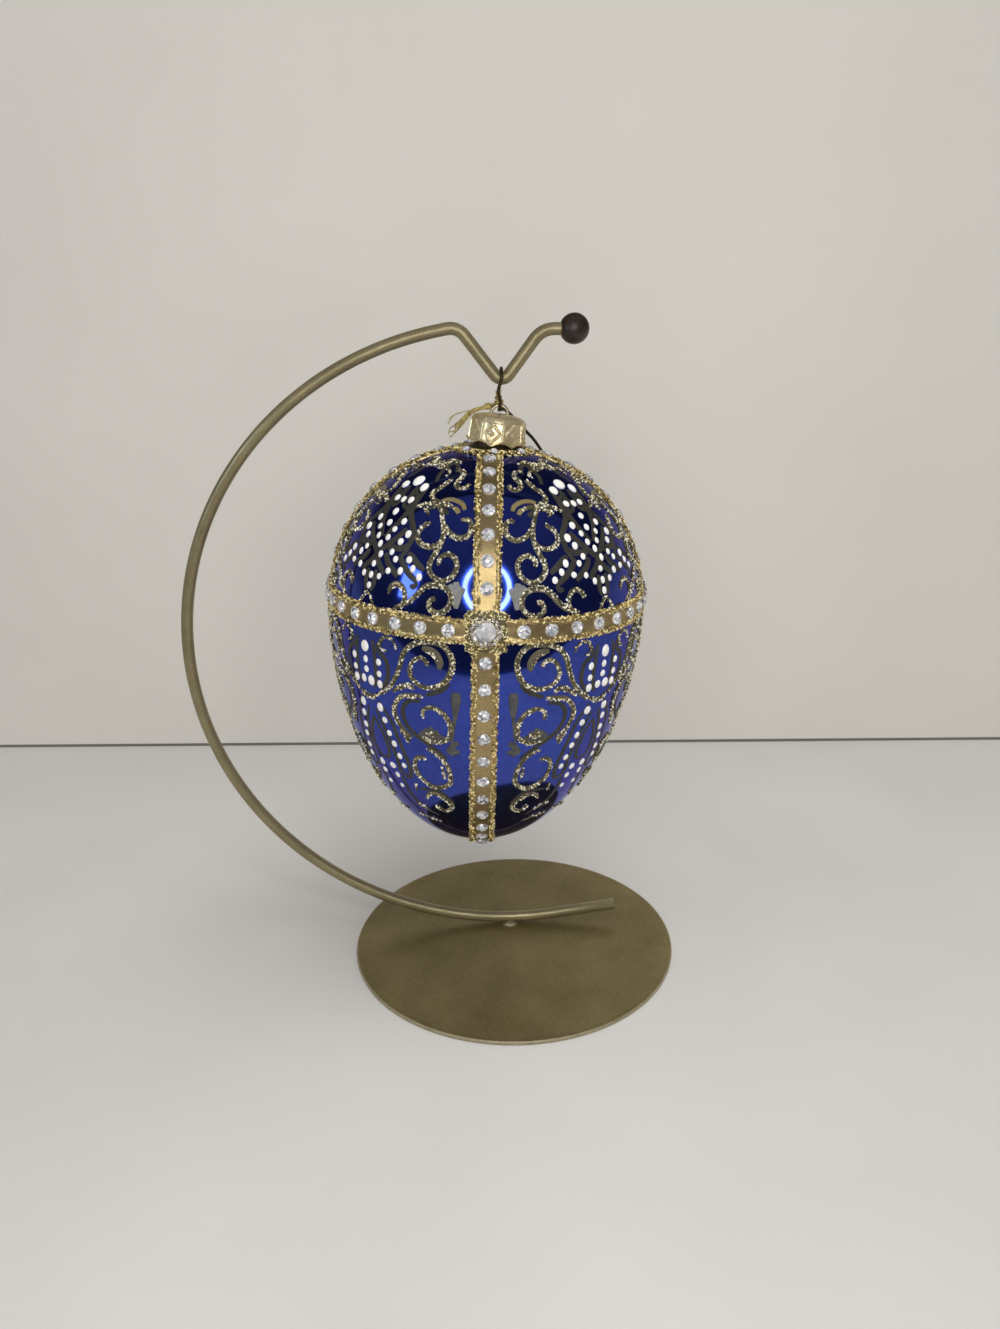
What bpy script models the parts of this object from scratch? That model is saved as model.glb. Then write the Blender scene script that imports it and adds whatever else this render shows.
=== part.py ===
"""Glass egg christmas ornament on its wire display stand.

A round steel base carries a bent wire arm.  A wire hook hangs in the V at the arm's tip, the
ornament's crown cap hangs on the hook by its spring loop, and the spring holds the glass egg by
its neck.  Strips of trim with glued stones run round the egg and from pole to pole, and
scrolls of thick glitter paint fill the panels between them.
Metres, +Z up, origin at the centre of the base's underside, the front towards -Y.
"""
import math

import bmesh
import bpy
from mathutils import Matrix, Vector

MM = 0.001
X_AXIS = Vector((1.0, 0.0, 0.0))
Z_AXIS = Vector((0.0, 0.0, 1.0))

# Gaps
SEAT_GAP = 0.3 * MM            # between pieces that touch on the real ornament

# Round base
BASE_DIAMETER = 90.0 * MM
BASE_THICKNESS = 1.0 * MM
BASE_EDGE_ROUND = 0.3 * MM

# Wire arm: a foot on the base, one long arc, a V for the hook and a short tip for the ball
ARM_WIRE = 3.1 * MM
ARM_SETBACK = 8.0 * MM         # how far the arm's plane stands behind the base's centre
ARM_CENTRE_X = -0.8 * MM
ARM_ARC_RADIUS = 84.0 * MM
ARM_OVAL = 0.0123              # the arc is this much wider than it is high
ARM_OVAL_TURN = math.radians(-5.7)
ARM_ARC_END = math.radians(100.5)
ARM_KNEE_LEAD = 4.2 * MM       # straight run from the arc to the knee's corner
ARM_KNEE_BEND = 4.5 * MM
V_LEG_SLOPE = math.radians(52.4)
V_LEFT_LEG = 17.3 * MM
V_RIGHT_LEG = 16.3 * MM
V_BEND = 2.3 * MM
TIP_BEND = 6.0 * MM
TIP_RUN = 7.9 * MM             # from the last corner to the ball's centre
FOOT_ARC = math.radians(9.0)
FOOT_SLOPE = math.radians(7.8)
FOOT_RUN = 17.7 * MM
WELD_LENGTH = 4.6 * MM
WELD_WIDTH = 2.6 * MM
WELD_HEIGHT = 1.3 * MM

# Ball on the arm's tip
BALL_DIAMETER = 7.4 * MM
BALL_BORE_DEPTH = 1.2 * MM     # how far the wire runs past the ball's centre

# Wire hook
HOOK_WIRE = 0.85 * MM
HOOK_DROP = 7.6 * MM           # from the arm's wire down to the bend that carries the loop
HOOK_SIDE_STEP = 0.7 * MM      # how far the bend lies to the left of the V
HOOK_TOP_STEP = 0.1 * MM
HOOK_ROOM = 0.12 * MM          # extra room round the wire where the V is tight
HOOK_TIP_ANGLE = math.radians(-40.0)

# Hanging pose of the ornament
HANG_TILT = math.radians(3.4)  # the top leans to the right
CAP_LEAN = math.radians(5.0)   # the loose cap leans further than the egg
CAP_SIDE_STEP = 0.55 * MM      # and sits this far off the egg's axis
LOOP_SIDE_STEP = -0.17 * MM    # the hook bears on the loop just left of its middle

# Spring loop of the cap
LOOP_WIRE = 0.8 * MM
LOOP_RADIUS = 2.1 * MM
LOOP_LEG_LENGTH = 10.5 * MM
LOOP_LEG_FLARE = 3.4 * MM
LOOP_FLARE_DROP = 5.5 * MM

# Crown cap
CAP_ROOM = 0.1 * MM            # free height above the cap's top, over the plain gap
CAP_TOP_DIAMETER = 13.4 * MM
CAP_BASE_DIAMETER = 14.2 * MM
CAP_HEIGHT = 7.6 * MM
CAP_WALL = 0.4 * MM
CAP_DOME = 0.75 * MM
CAP_PANELS = 8
CAP_TURN = math.radians(-11.5)
CAP_RIB = 0.3 * MM
CAP_TEETH = 1.0 * MM
CAP_TEETH_ROOM = 0.65 * MM     # from the tips of the teeth to the glass under the cap's middle

# Gold cord tie
KNOT_SIZE = Vector((1.1, 1.0, 1.4)) * MM
CORD_WIDTH = 1.0 * MM

# Blown glass egg, blunt end up
EGG_DIAMETER = 81.4 * MM
EGG_TOP = 42.9 * MM            # from the widest plane to the blunt end
EGG_BOTTOM = 64.4 * MM         # and to the narrow end
EGG_TOP_POWER = 2.146
EGG_BOTTOM_POWER = 1.8
EGG_BOTTOM_ROUND = 2.08
GLASS_WALL = 1.0 * MM
NECK_DIAMETER = 10.0 * MM
NECK_HEIGHT = 5.2 * MM
NECK_FILLET = 1.2 * MM

# Trim strips, draped on the glass
BAND_HEIGHT = 5.8 * MM         # the strips cross this far above the widest plane
PATTERN_TILT = math.radians(-1.2)  # the strips stand straighter than the hanging egg
PATTERN_LEAN = math.radians(-0.6)
PATTERN_TURN = math.radians(-1.2)
STRIP_WIDTH = 6.2 * MM
ROUND_STRIP_WIDTH = 5.6 * MM
STRIP_THICKNESS = 0.3 * MM
RIM_WIDTH = 1.15 * MM
RIM_THICKNESS = 0.6 * MM
STRIP_STEP = 4.2 * MM
STONE_DIAMETER = 2.9 * MM
STONE_HEIGHT = 0.9 * MM
STONE_SINK = 0.28 * MM
STONE_PITCH = 6.4 * MM
STONE_SIDES = 6
UPPER_STONES_FROM = (4.3 * MM, 2.9 * MM)   # from a strip's ends to its first and last stone
LOWER_STONES_FROM = (2.0 * MM, 3.0 * MM)
ROUND_STONES_FROM = (3.2 * MM, 3.2 * MM)

# Stone ring under the cap
COLLAR_INNER_RADIUS = 8.3 * MM
COLLAR_WIDTH = 2.0 * MM
COLLAR_STONES = 8
COLLAR_STONE_DIAMETER = 2.1 * MM

# Rosettes where the strips cross, each round one large stone
ROSETTE_HALF = 5.0 * MM
ROSETTE_SQUARENESS = 4.0
ROSETTE_RING_INNER = 2.65 * MM
ROSETTE_RING_WIDTH = 0.7 * MM
ROSETTE_RING_THICKNESS = 0.85 * MM
BIG_STONE_DIAMETER = 4.3 * MM
BIG_STONE_HEIGHT = 1.7 * MM

# Scrolls drawn on the glass in thick glitter paint, beside the strips
SCROLL_WIDTH = 1.2 * MM
SCROLL_LEAF_WIDTH = 2.0 * MM
SCROLL_HEIGHT = 0.35 * MM      # over the plain gap
SCROLL_TAPER = 0.55            # share of its width that a line keeps at its ends
SCROLL_LAYER = 0.03 * MM       # each line lies this much over the one before
SCROLL_STEP = 3.1 * MM

# The main lines beside one strip: width, then bends in degrees as (from the panel's middle
# towards the strip, from the crossing towards the pole)
UPPER_SCROLLS = (
    (SCROLL_WIDTH, ((21.0, 42.5), (25.0, 37.5), (27.3, 31.0), (26.0, 25.0), (24.3, 20.5),
                    (26.0, 16.8), (30.0, 15.7), (34.0, 19.0), (33.0, 23.8), (28.6, 23.6),
                    (28.0, 21.0))),
    (SCROLL_WIDTH, ((21.7, 54.9), (17.6, 49.8), (15.4, 46.0), (18.5, 43.6), (22.0, 41.3))),
    (SCROLL_WIDTH, ((26.2, 34.8), (28.6, 32.2), (32.5, 30.3), (36.0, 31.2), (37.2, 34.0),
                    (35.5, 36.8))),
    (SCROLL_WIDTH, ((27.2, 30.5), (25.8, 28.0), (21.5, 26.5), (17.5, 28.7), (17.0, 32.0),
                    (20.0, 35.0))),
    (SCROLL_LEAF_WIDTH, ((19.5, 43.4), (25.0, 45.0), (30.5, 44.6), (34.0, 41.0))),
    (SCROLL_WIDTH, ((13.8, 5.8), (18.5, 8.2), (23.0, 12.2), (28.0, 13.9), (32.4, 12.0),
                    (33.2, 8.3), (30.5, 5.7), (26.6, 6.1), (26.0, 8.6))),
    (SCROLL_LEAF_WIDTH, ((27.5, 14.8), (31.5, 14.6), (35.0, 12.6), (35.9, 9.0))),
)
LOWER_SCROLLS = (
    (SCROLL_WIDTH, ((26.2, 12.5), (23.5, 10.2), (20.0, 12.8), (20.3, 17.5), (25.5, 19.8),
                    (31.0, 18.0), (34.4, 12.8), (33.2, 7.4), (29.0, 5.6), (23.5, 6.0),
                    (18.5, 8.6), (15.8, 14.0), (12.0, 20.8), (6.5, 25.3))),
    (SCROLL_WIDTH, ((31.8, 17.8), (31.5, 19.8), (27.5, 21.8), (20.0, 23.6), (14.0, 25.5),
                    (11.5, 30.0), (13.5, 35.0), (17.5, 37.8))),
    (SCROLL_LEAF_WIDTH, ((31.8, 19.0), (34.0, 23.0), (34.4, 30.0), (34.0, 36.0), (32.0, 41.0),
                         (29.4, 43.8))),
    (SCROLL_WIDTH, ((23.2, 30.2), (24.0, 27.2), (28.5, 26.9), (32.2, 30.5), (32.6, 35.2),
                    (28.5, 37.8), (23.0, 36.9))),
    (SCROLL_WIDTH, ((23.0, 40.5), (28.5, 43.2), (31.3, 48.0), (29.0, 52.5), (22.5, 53.4),
                    (17.0, 50.5), (17.0, 45.7), (21.8, 44.0))),
)

SIDES = ("front", "right", "back", "left")
SIDE_ANGLES = (-90.0, 0.0, 90.0, 180.0)


def clear_scene():
    """Remove every object of the open scene."""
    for old in list(bpy.data.objects):
        bpy.data.objects.remove(old, do_unlink=True)


def finish_material(name, color, roughness, metallic, transmission=0.0):
    """A Principled material with the piece's plain colour and gloss."""
    material = bpy.data.materials.new(name)
    material.use_nodes = True
    shader = material.node_tree.nodes["Principled BSDF"]
    shader.inputs["Base Color"].default_value = (*color, 1.0)
    shader.inputs["Roughness"].default_value = roughness
    shader.inputs["Metallic"].default_value = metallic
    shader.inputs["Transmission Weight"].default_value = transmission
    return material


def place(thing, parent=None, location=(0.0, 0.0, 0.0), rotation=(0.0, 0.0, 0.0)):
    """Link an object and set it in its parent's frame."""
    bpy.context.scene.collection.objects.link(thing)
    thing.parent = parent
    thing.location = location
    thing.rotation_euler = rotation
    return thing


def joint_frame(name, parent=None, location=(0.0, 0.0, 0.0), rotation=(0.0, 0.0, 0.0)):
    """An empty that carries all that moves with one joint."""
    empty = bpy.data.objects.new(name, None)
    empty.empty_display_size = 5.0 * MM
    return place(empty, parent, location, rotation)


def mesh_piece(name, shape, material, parent=None, location=(0.0, 0.0, 0.0), smooth_angle=35.0):
    """Turn a bmesh into a placed object, smooth but for its sharp edges."""
    bmesh.ops.recalc_face_normals(shape, faces=shape.faces)
    mesh = bpy.data.meshes.new(name)
    shape.to_mesh(mesh)
    shape.free()
    mesh.shade_smooth()
    mesh.set_sharp_from_angle(angle=math.radians(smooth_angle))
    mesh.materials.append(material)
    return place(bpy.data.objects.new(name, mesh), parent, location)


def helper_shape(name, shape, parent=None, location=(0.0, 0.0, 0.0)):
    """A shape that only cuts or joins another piece."""
    bmesh.ops.recalc_face_normals(shape, faces=shape.faces)
    mesh = bpy.data.meshes.new(name)
    shape.to_mesh(mesh)
    shape.free()
    helper = place(bpy.data.objects.new(name, mesh), parent, location)
    helper.hide_render = True
    helper.display_type = "WIRE"
    return helper


def combine(piece, helper, operation):
    """Cut a helper out of a piece, or join it on."""
    modifier = piece.modifiers.new(helper.name, "BOOLEAN")
    modifier.operation = operation
    modifier.solver = "EXACT"
    modifier.object = helper


def wire_piece(name, points, width, material, parent=None, resolution=2, widths=None):
    """A round wire along points, with closed ends."""
    curve = bpy.data.curves.new(name, "CURVE")
    curve.dimensions = "3D"
    curve.bevel_depth = width / 2
    curve.bevel_resolution = resolution
    curve.use_fill_caps = True
    spline = curve.splines.new("POLY")
    spline.points.add(len(points) - 1)
    for index, point in enumerate(points):
        spline.points[index].co = (*point, 1.0)
        spline.points[index].radius = widths[index] / width if widths else 1.0
    curve.materials.append(material)
    return place(bpy.data.objects.new(name, curve), parent)


def wire_helper(name, points, width, parent=None, resolution=2, widths=None):
    """A closed wire shape that only cuts or joins another piece."""
    material = bpy.data.materials.new(name)
    drawn = wire_piece(name + "_line", points, width, material, None, resolution, widths)
    evaluated = drawn.evaluated_get(bpy.context.evaluated_depsgraph_get())
    mesh = bpy.data.meshes.new_from_object(evaluated)
    bpy.data.objects.remove(drawn, do_unlink=True)
    helper = place(bpy.data.objects.new(name, mesh), parent)
    helper.hide_render = True
    helper.display_type = "WIRE"
    return helper


def smooth_path(points, steps):
    """Points on the smooth curve that runs through the given ones."""
    knots = [Vector(p) for p in points]
    ends = [2 * knots[0] - knots[1]] + knots + [2 * knots[-1] - knots[-2]]
    path = []
    for before, start, stop, after in zip(ends, ends[1:], ends[2:], ends[3:]):
        for step in range(steps):
            t = step / steps
            path.append(0.5 * (2 * start + (stop - before) * t
                               + (2 * before - 5 * start + 4 * stop - after) * t * t
                               + (3 * start - before - 3 * stop + after) * t ** 3))
    return path + [knots[-1]]


def arc_points(centre, radius, start, stop, steps):
    """Points of an arc in the XZ plane, about centre."""
    angles = [start + (stop - start) * i / steps for i in range(steps + 1)]
    return [centre + radius * Vector((math.cos(a), 0.0, math.sin(a))) for a in angles]


def rounded_corner(before, corner, after, radius, steps):
    """Points of the bend that rounds the corner between two straight runs."""
    into = (before - corner).normalized()
    out = (after - corner).normalized()
    half = into.angle(out) / 2
    centre = corner + (into + out).normalized() * radius / math.sin(half)
    start = corner + into * radius / math.tan(half) - centre
    turn_axis = start.cross(corner - centre).normalized()
    sweep = math.pi - 2 * half
    return [centre + Matrix.Rotation(sweep * i / steps, 3, turn_axis) @ start
            for i in range(steps + 1)]


def grid_body(rings, closed_rows=False):
    """A closed skin over equal rings of points; a one-point ring closes an end."""
    shape = bmesh.new()
    made = [[shape.verts.new(p) for p in ring] for ring in rings]
    pairs = list(zip(made, made[1:]))
    if closed_rows:
        pairs.append((made[-1], made[0]))
    for lower, upper in pairs:
        count = max(len(lower), len(upper))
        for i in range(count):
            j = (i + 1) % count
            if len(lower) == 1:
                shape.faces.new((lower[0], upper[j], upper[i]))
            elif len(upper) == 1:
                shape.faces.new((lower[i], lower[j], upper[0]))
            else:
                shape.faces.new((lower[i], lower[j], upper[j], upper[i]))
    for ring in (made[0], made[-1]):
        if len(ring) > 1 and not closed_rows:
            shape.faces.new(ring)
    return shape


def turned_body(profile, segments):
    """Turn an outline of (radius, height) about Z; radius 0 gives a pole."""
    rings = []
    for radius, height in profile:
        if radius == 0.0:
            rings.append([Vector((0.0, 0.0, height))])
            continue
        turns = [2 * math.pi * i / segments for i in range(segments)]
        rings.append([Vector((radius * math.cos(a), radius * math.sin(a), height)) for a in turns])
    return grid_body(rings)


def turned_ring(profile, segments):
    """Turn a closed outline of (radius, height) about Z into a ring."""
    rings = []
    for i in range(segments):
        a = 2 * math.pi * i / segments
        rings.append([Vector((r * math.cos(a), r * math.sin(a), h)) for r, h in profile])
    return grid_body(rings, closed_rows=True)


# The egg's surface

def egg_sizes(z):
    """Length, flank power and end power of the half of the egg that holds height z."""
    if z > 0:
        return EGG_TOP, EGG_TOP_POWER, EGG_TOP_POWER
    return EGG_BOTTOM, EGG_BOTTOM_POWER, EGG_BOTTOM_ROUND


def egg_radius(z, inset=0.0):
    """Radius of the glass at height z above its widest plane."""
    length, flank, end = egg_sizes(z)
    share = min(1.0, abs(z) / (length - inset))
    return (EGG_DIAMETER / 2 - inset) * max(0.0, 1 - share ** flank) ** (1 / end)


def egg_height(radius):
    """Height of the glass near the blunt end, at a distance from the axis."""
    share = radius / (EGG_DIAMETER / 2)
    return EGG_TOP * (1 - share ** EGG_TOP_POWER) ** (1 / EGG_TOP_POWER)


def egg_normal(point):
    """Outward direction of the glass at one of its points."""
    length, flank, end = egg_sizes(point.z)
    radius = math.hypot(point.x, point.y)
    along_r = end * radius ** (end - 1) / (EGG_DIAMETER / 2) ** end
    along_z = math.copysign(flank * abs(point.z) ** (flank - 1) / length ** flank, point.z)
    if radius < 1e-9:
        return Vector((0.0, 0.0, math.copysign(1.0, point.z)))
    return Vector((along_r * point.x / radius, along_r * point.y / radius, along_z)).normalized()


def egg_outline(inset, bottom_steps, top_steps, top_angle):
    """Profile of the egg from its narrow end up, as (radius, height)."""
    outline = [(0.0, inset - EGG_BOTTOM)]
    for i in range(1, bottom_steps):
        angle = math.pi / 2 * (1 - i / bottom_steps)
        z = (inset - EGG_BOTTOM) * math.sin(angle) ** (2 / EGG_BOTTOM_POWER)
        outline.append((egg_radius(z, inset), z))
    for i in range(top_steps + 1):
        angle = top_angle * i / top_steps
        z = (EGG_TOP - inset) * math.sin(angle) ** (2 / EGG_TOP_POWER)
        outline.append((egg_radius(z, inset), z))
    return outline


def drape(origin, direction, distance, height):
    """Point reached by going from origin along a tangent, down to the glass, and out again."""
    normal = egg_normal(origin)
    low, high = 0.0, distance + 0.5 * MM
    for _ in range(40):
        middle = (low + high) / 2
        point = origin + direction * distance - normal * middle
        if math.hypot(point.x, point.y) > egg_radius(point.z):
            low = middle
        else:
            high = middle
    point = origin + direction * distance - normal * low
    return point + egg_normal(point) * height


def glass_point(direction):
    """Point where a ray from the middle of the strip pattern leaves the egg."""
    origin = Vector((0.0, 0.0, BAND_HEIGHT))
    low, high = 0.0, EGG_TOP + EGG_BOTTOM
    for _ in range(40):
        middle = (low + high) / 2
        point = origin + direction * middle
        inside = -EGG_BOTTOM < point.z < EGG_TOP
        if inside and math.hypot(point.x, point.y) < egg_radius(point.z):
            low = middle
        else:
            high = middle
    return origin + direction * low


def pattern_point(azimuth, elevation):
    """Point of the glass at an azimuth and elevation of the slightly turned strip pattern."""
    turn = (Matrix.Rotation(PATTERN_TILT, 3, "Y") @ Matrix.Rotation(PATTERN_LEAN, 3, "X")
            @ Matrix.Rotation(PATTERN_TURN, 3, "Z"))
    level = math.cos(elevation)
    direction = Vector((level * math.cos(azimuth), level * math.sin(azimuth),
                        math.sin(elevation)))
    return glass_point(turn @ direction)


def meridian_points(azimuth, last_elevation, stop_radius):
    """Fine points up or down a strip from its crossing, until stop_radius is reached."""
    points = []
    steps = 240
    for i in range(steps + 1):
        point = pattern_point(azimuth, last_elevation * i / steps)
        if math.hypot(point.x, point.y) < stop_radius:
            break
        points.append(point)
    return points


def walk(points, distance):
    """Point at a distance along a row of points, and the direction there."""
    gone = 0.0
    for before, after in zip(points, points[1:]):
        step = (after - before).length
        if gone + step >= distance:
            return before.lerp(after, (distance - gone) / step), (after - before).normalized()
        gone += step
    return points[-1], (points[-1] - points[-2]).normalized()


def path_length(points):
    """Length of a row of points."""
    return sum((b - a).length for a, b in zip(points, points[1:]))


def strip_section(width):
    """Cross-section of a strip as (offset from the middle, height over the glass)."""
    edge = width / 2
    inner = edge - RIM_WIDTH
    low = SEAT_GAP
    face = SEAT_GAP + STRIP_THICKNESS
    rim = SEAT_GAP + RIM_THICKNESS
    slope = RIM_THICKNESS - STRIP_THICKNESS
    return [(-edge, low), (0.0, low), (edge, low), (edge, rim), (inner, rim),
            (inner - slope, face), (slope - inner, face), (-inner, rim), (-edge, rim)]


def stone_shape(shape, origin, normal, diameter, sink, height, sides):
    """Add one cut stone to a bmesh, standing along normal."""
    turn = Z_AXIS.rotation_difference(normal).to_matrix()
    levels = ((diameter / 2, -sink), (diameter / 2, height * 0.35), (diameter * 0.28, height))
    rings = []
    for radius, level in levels:
        ring = []
        for i in range(sides):
            a = 2 * math.pi * (i + 0.5) / sides
            offset = Vector((radius * math.cos(a), radius * math.sin(a), level))
            ring.append(shape.verts.new(origin + turn @ offset))
        rings.append(ring)
    for lower, upper in zip(rings, rings[1:]):
        for i in range(sides):
            j = (i + 1) % sides
            shape.faces.new((lower[i], lower[j], upper[j], upper[i]))
    shape.faces.new(rings[0][::-1])
    shape.faces.new(rings[-1])


def stone_row(name, seats, diameter, parent):
    """Helper with a row of stones, each given by its point on the glass."""
    shape = bmesh.new()
    face = SEAT_GAP + STRIP_THICKNESS
    for seat in seats:
        normal = egg_normal(seat)
        origin = seat + normal * face
        stone_shape(shape, origin, normal, diameter, STONE_SINK, STONE_HEIGHT, STONE_SIDES)
    return helper_shape(name, shape, parent)


def trim_strip(name, path, width, trims, stones_from, material, parent):
    """Strip along a path on the glass, with its evenly spaced stones."""
    trim_start, trim_end = trims
    length = path_length(path) - trim_start - trim_end
    stations = max(4, round(length / STRIP_STEP))
    rings = []
    for i in range(stations + 1):
        point, ahead = walk(path, trim_start + length * i / stations)
        side = egg_normal(point).cross(ahead).normalized()
        ring = []
        for offset, height in strip_section(width):
            direction = side if offset >= 0 else -side
            ring.append(drape(point, direction, abs(offset), height))
        rings.append(ring)
    strip = mesh_piece(name, grid_body(rings), material, parent)
    first = trim_start + stones_from[0]
    span = length - sum(stones_from)
    pitches = round(span / STONE_PITCH)
    seats = [walk(path, first + span * i / pitches)[0] for i in range(pitches + 1)]
    combine(strip, stone_row(name + "_stones", seats, STONE_DIAMETER, parent), "UNION")
    return strip


def rosette(name, centre, up, material, parent):
    """Raised patch over a crossing, with a ring round the place of its large stone."""
    normal = egg_normal(centre)
    side = up.cross(normal).normalized()
    ring_outer = ROSETTE_RING_INNER + ROSETTE_RING_WIDTH
    face = SEAT_GAP + STRIP_THICKNESS
    ring_top = SEAT_GAP + ROSETTE_RING_THICKNESS
    rim = SEAT_GAP + RIM_THICKNESS
    rows = ((ROSETTE_RING_INNER - 0.3 * MM, face), (ROSETTE_RING_INNER, ring_top),
            (ring_outer, ring_top), (ring_outer + 0.3 * MM, rim), (None, rim), (None, SEAT_GAP))
    rings = [[centre + normal * face]]
    segments = 24
    for radius, height in rows:
        ring = []
        for i in range(segments):
            a = 2 * math.pi * i / segments
            power = ROSETTE_SQUARENESS
            reach = (abs(math.cos(a)) ** power + abs(math.sin(a)) ** power) ** (-1 / power)
            distance = ROSETTE_HALF * reach if radius is None else radius
            direction = side * math.cos(a) + up * math.sin(a)
            ring.append(drape(centre, direction, distance, height))
        rings.append(ring)
    rings.append([centre + normal * SEAT_GAP])
    return mesh_piece(name, grid_body(rings), material, parent)


def large_stone(name, centre, material, parent):
    """Large cut stone on a rosette."""
    shape = bmesh.new()
    normal = egg_normal(centre)
    seat = centre + normal * (SEAT_GAP + STRIP_THICKNESS + SEAT_GAP)
    stone_shape(shape, seat, normal, BIG_STONE_DIAMETER, 0.0, BIG_STONE_HEIGHT, 12)
    return mesh_piece(name, shape, material, parent, smooth_angle=10.0)


def scroll_line(width, bends, middle, hand, pole, layer):
    """Closed skin of one raised line, drawn through its bends on the glass."""
    turns = smooth_path([(hand * across, pole * rise, 0.0) for across, rise in bends], 8)
    path = [pattern_point(math.radians(middle + t.x), math.radians(t.y)) for t in turns]
    length = path_length(path)
    stations = max(4, round(length / SCROLL_STEP))
    rings = []
    for i in range(stations + 1):
        point, ahead = walk(path, length * i / stations)
        normal = egg_normal(point)
        side = normal.cross(ahead).normalized()
        half = width / 2
        if i in (0, stations):
            half *= SCROLL_TAPER
        low = SEAT_GAP + layer
        rings.append([drape(point, side, half, low), drape(point, -side, half, low),
                      point + normal * (low + SCROLL_HEIGHT)])
    return grid_body(rings)


def scroll(name, lines, middle, hand, pole, material, parent):
    """All the lines beside one strip, run together into one piece."""
    shapes = [scroll_line(width, bends, middle, hand, pole, index * SCROLL_LAYER)
              for index, (width, bends) in enumerate(lines)]
    piece = mesh_piece(name, shapes[0], material, parent)
    for index, shape in enumerate(shapes[1:]):
        combine(piece, helper_shape(f"{name}_line_{index}", shape, parent), "UNION")
    return piece


# The stand

def arm_radius(angle):
    """Distance of the slightly oval arc from its centre."""
    return ARM_ARC_RADIUS * (1 + ARM_OVAL * math.cos(2 * (angle - ARM_OVAL_TURN)))


def arm_arc(centre, start, stop, steps):
    """Points of the arm's long arc."""
    angles = [start + (stop - start) * i / steps for i in range(steps + 1)]
    return [centre + arm_radius(a) * Vector((math.cos(a), 0.0, math.sin(a))) for a in angles]


def arm_layout():
    """Named points of the arm's middle line, in its plane."""
    rest_height = BASE_THICKNESS + SEAT_GAP + ARM_WIRE / 2
    centre = Vector((ARM_CENTRE_X, ARM_SETBACK, rest_height + arm_radius(-math.pi / 2)))
    before, arc_end = arm_arc(centre, ARM_ARC_END + 0.01, ARM_ARC_END, 1)
    ahead = (arc_end - before).normalized()
    down = Vector((math.cos(V_LEG_SLOPE), 0.0, -math.sin(V_LEG_SLOPE)))
    rise = Vector((math.cos(V_LEG_SLOPE), 0.0, math.sin(V_LEG_SLOPE)))
    knee = arc_end + ahead * ARM_KNEE_LEAD
    valley = knee + down * V_LEFT_LEG
    shoulder = valley + rise * V_RIGHT_LEG
    ball = shoulder + X_AXIS * TIP_RUN
    bend_lift = V_BEND * (1 / math.cos(V_LEG_SLOPE) - 1)
    hang = valley + Z_AXIS * bend_lift
    return {"centre": centre, "arc_end": arc_end, "knee": knee, "valley": valley,
            "shoulder": shoulder, "ball": ball, "hang": hang}


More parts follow.
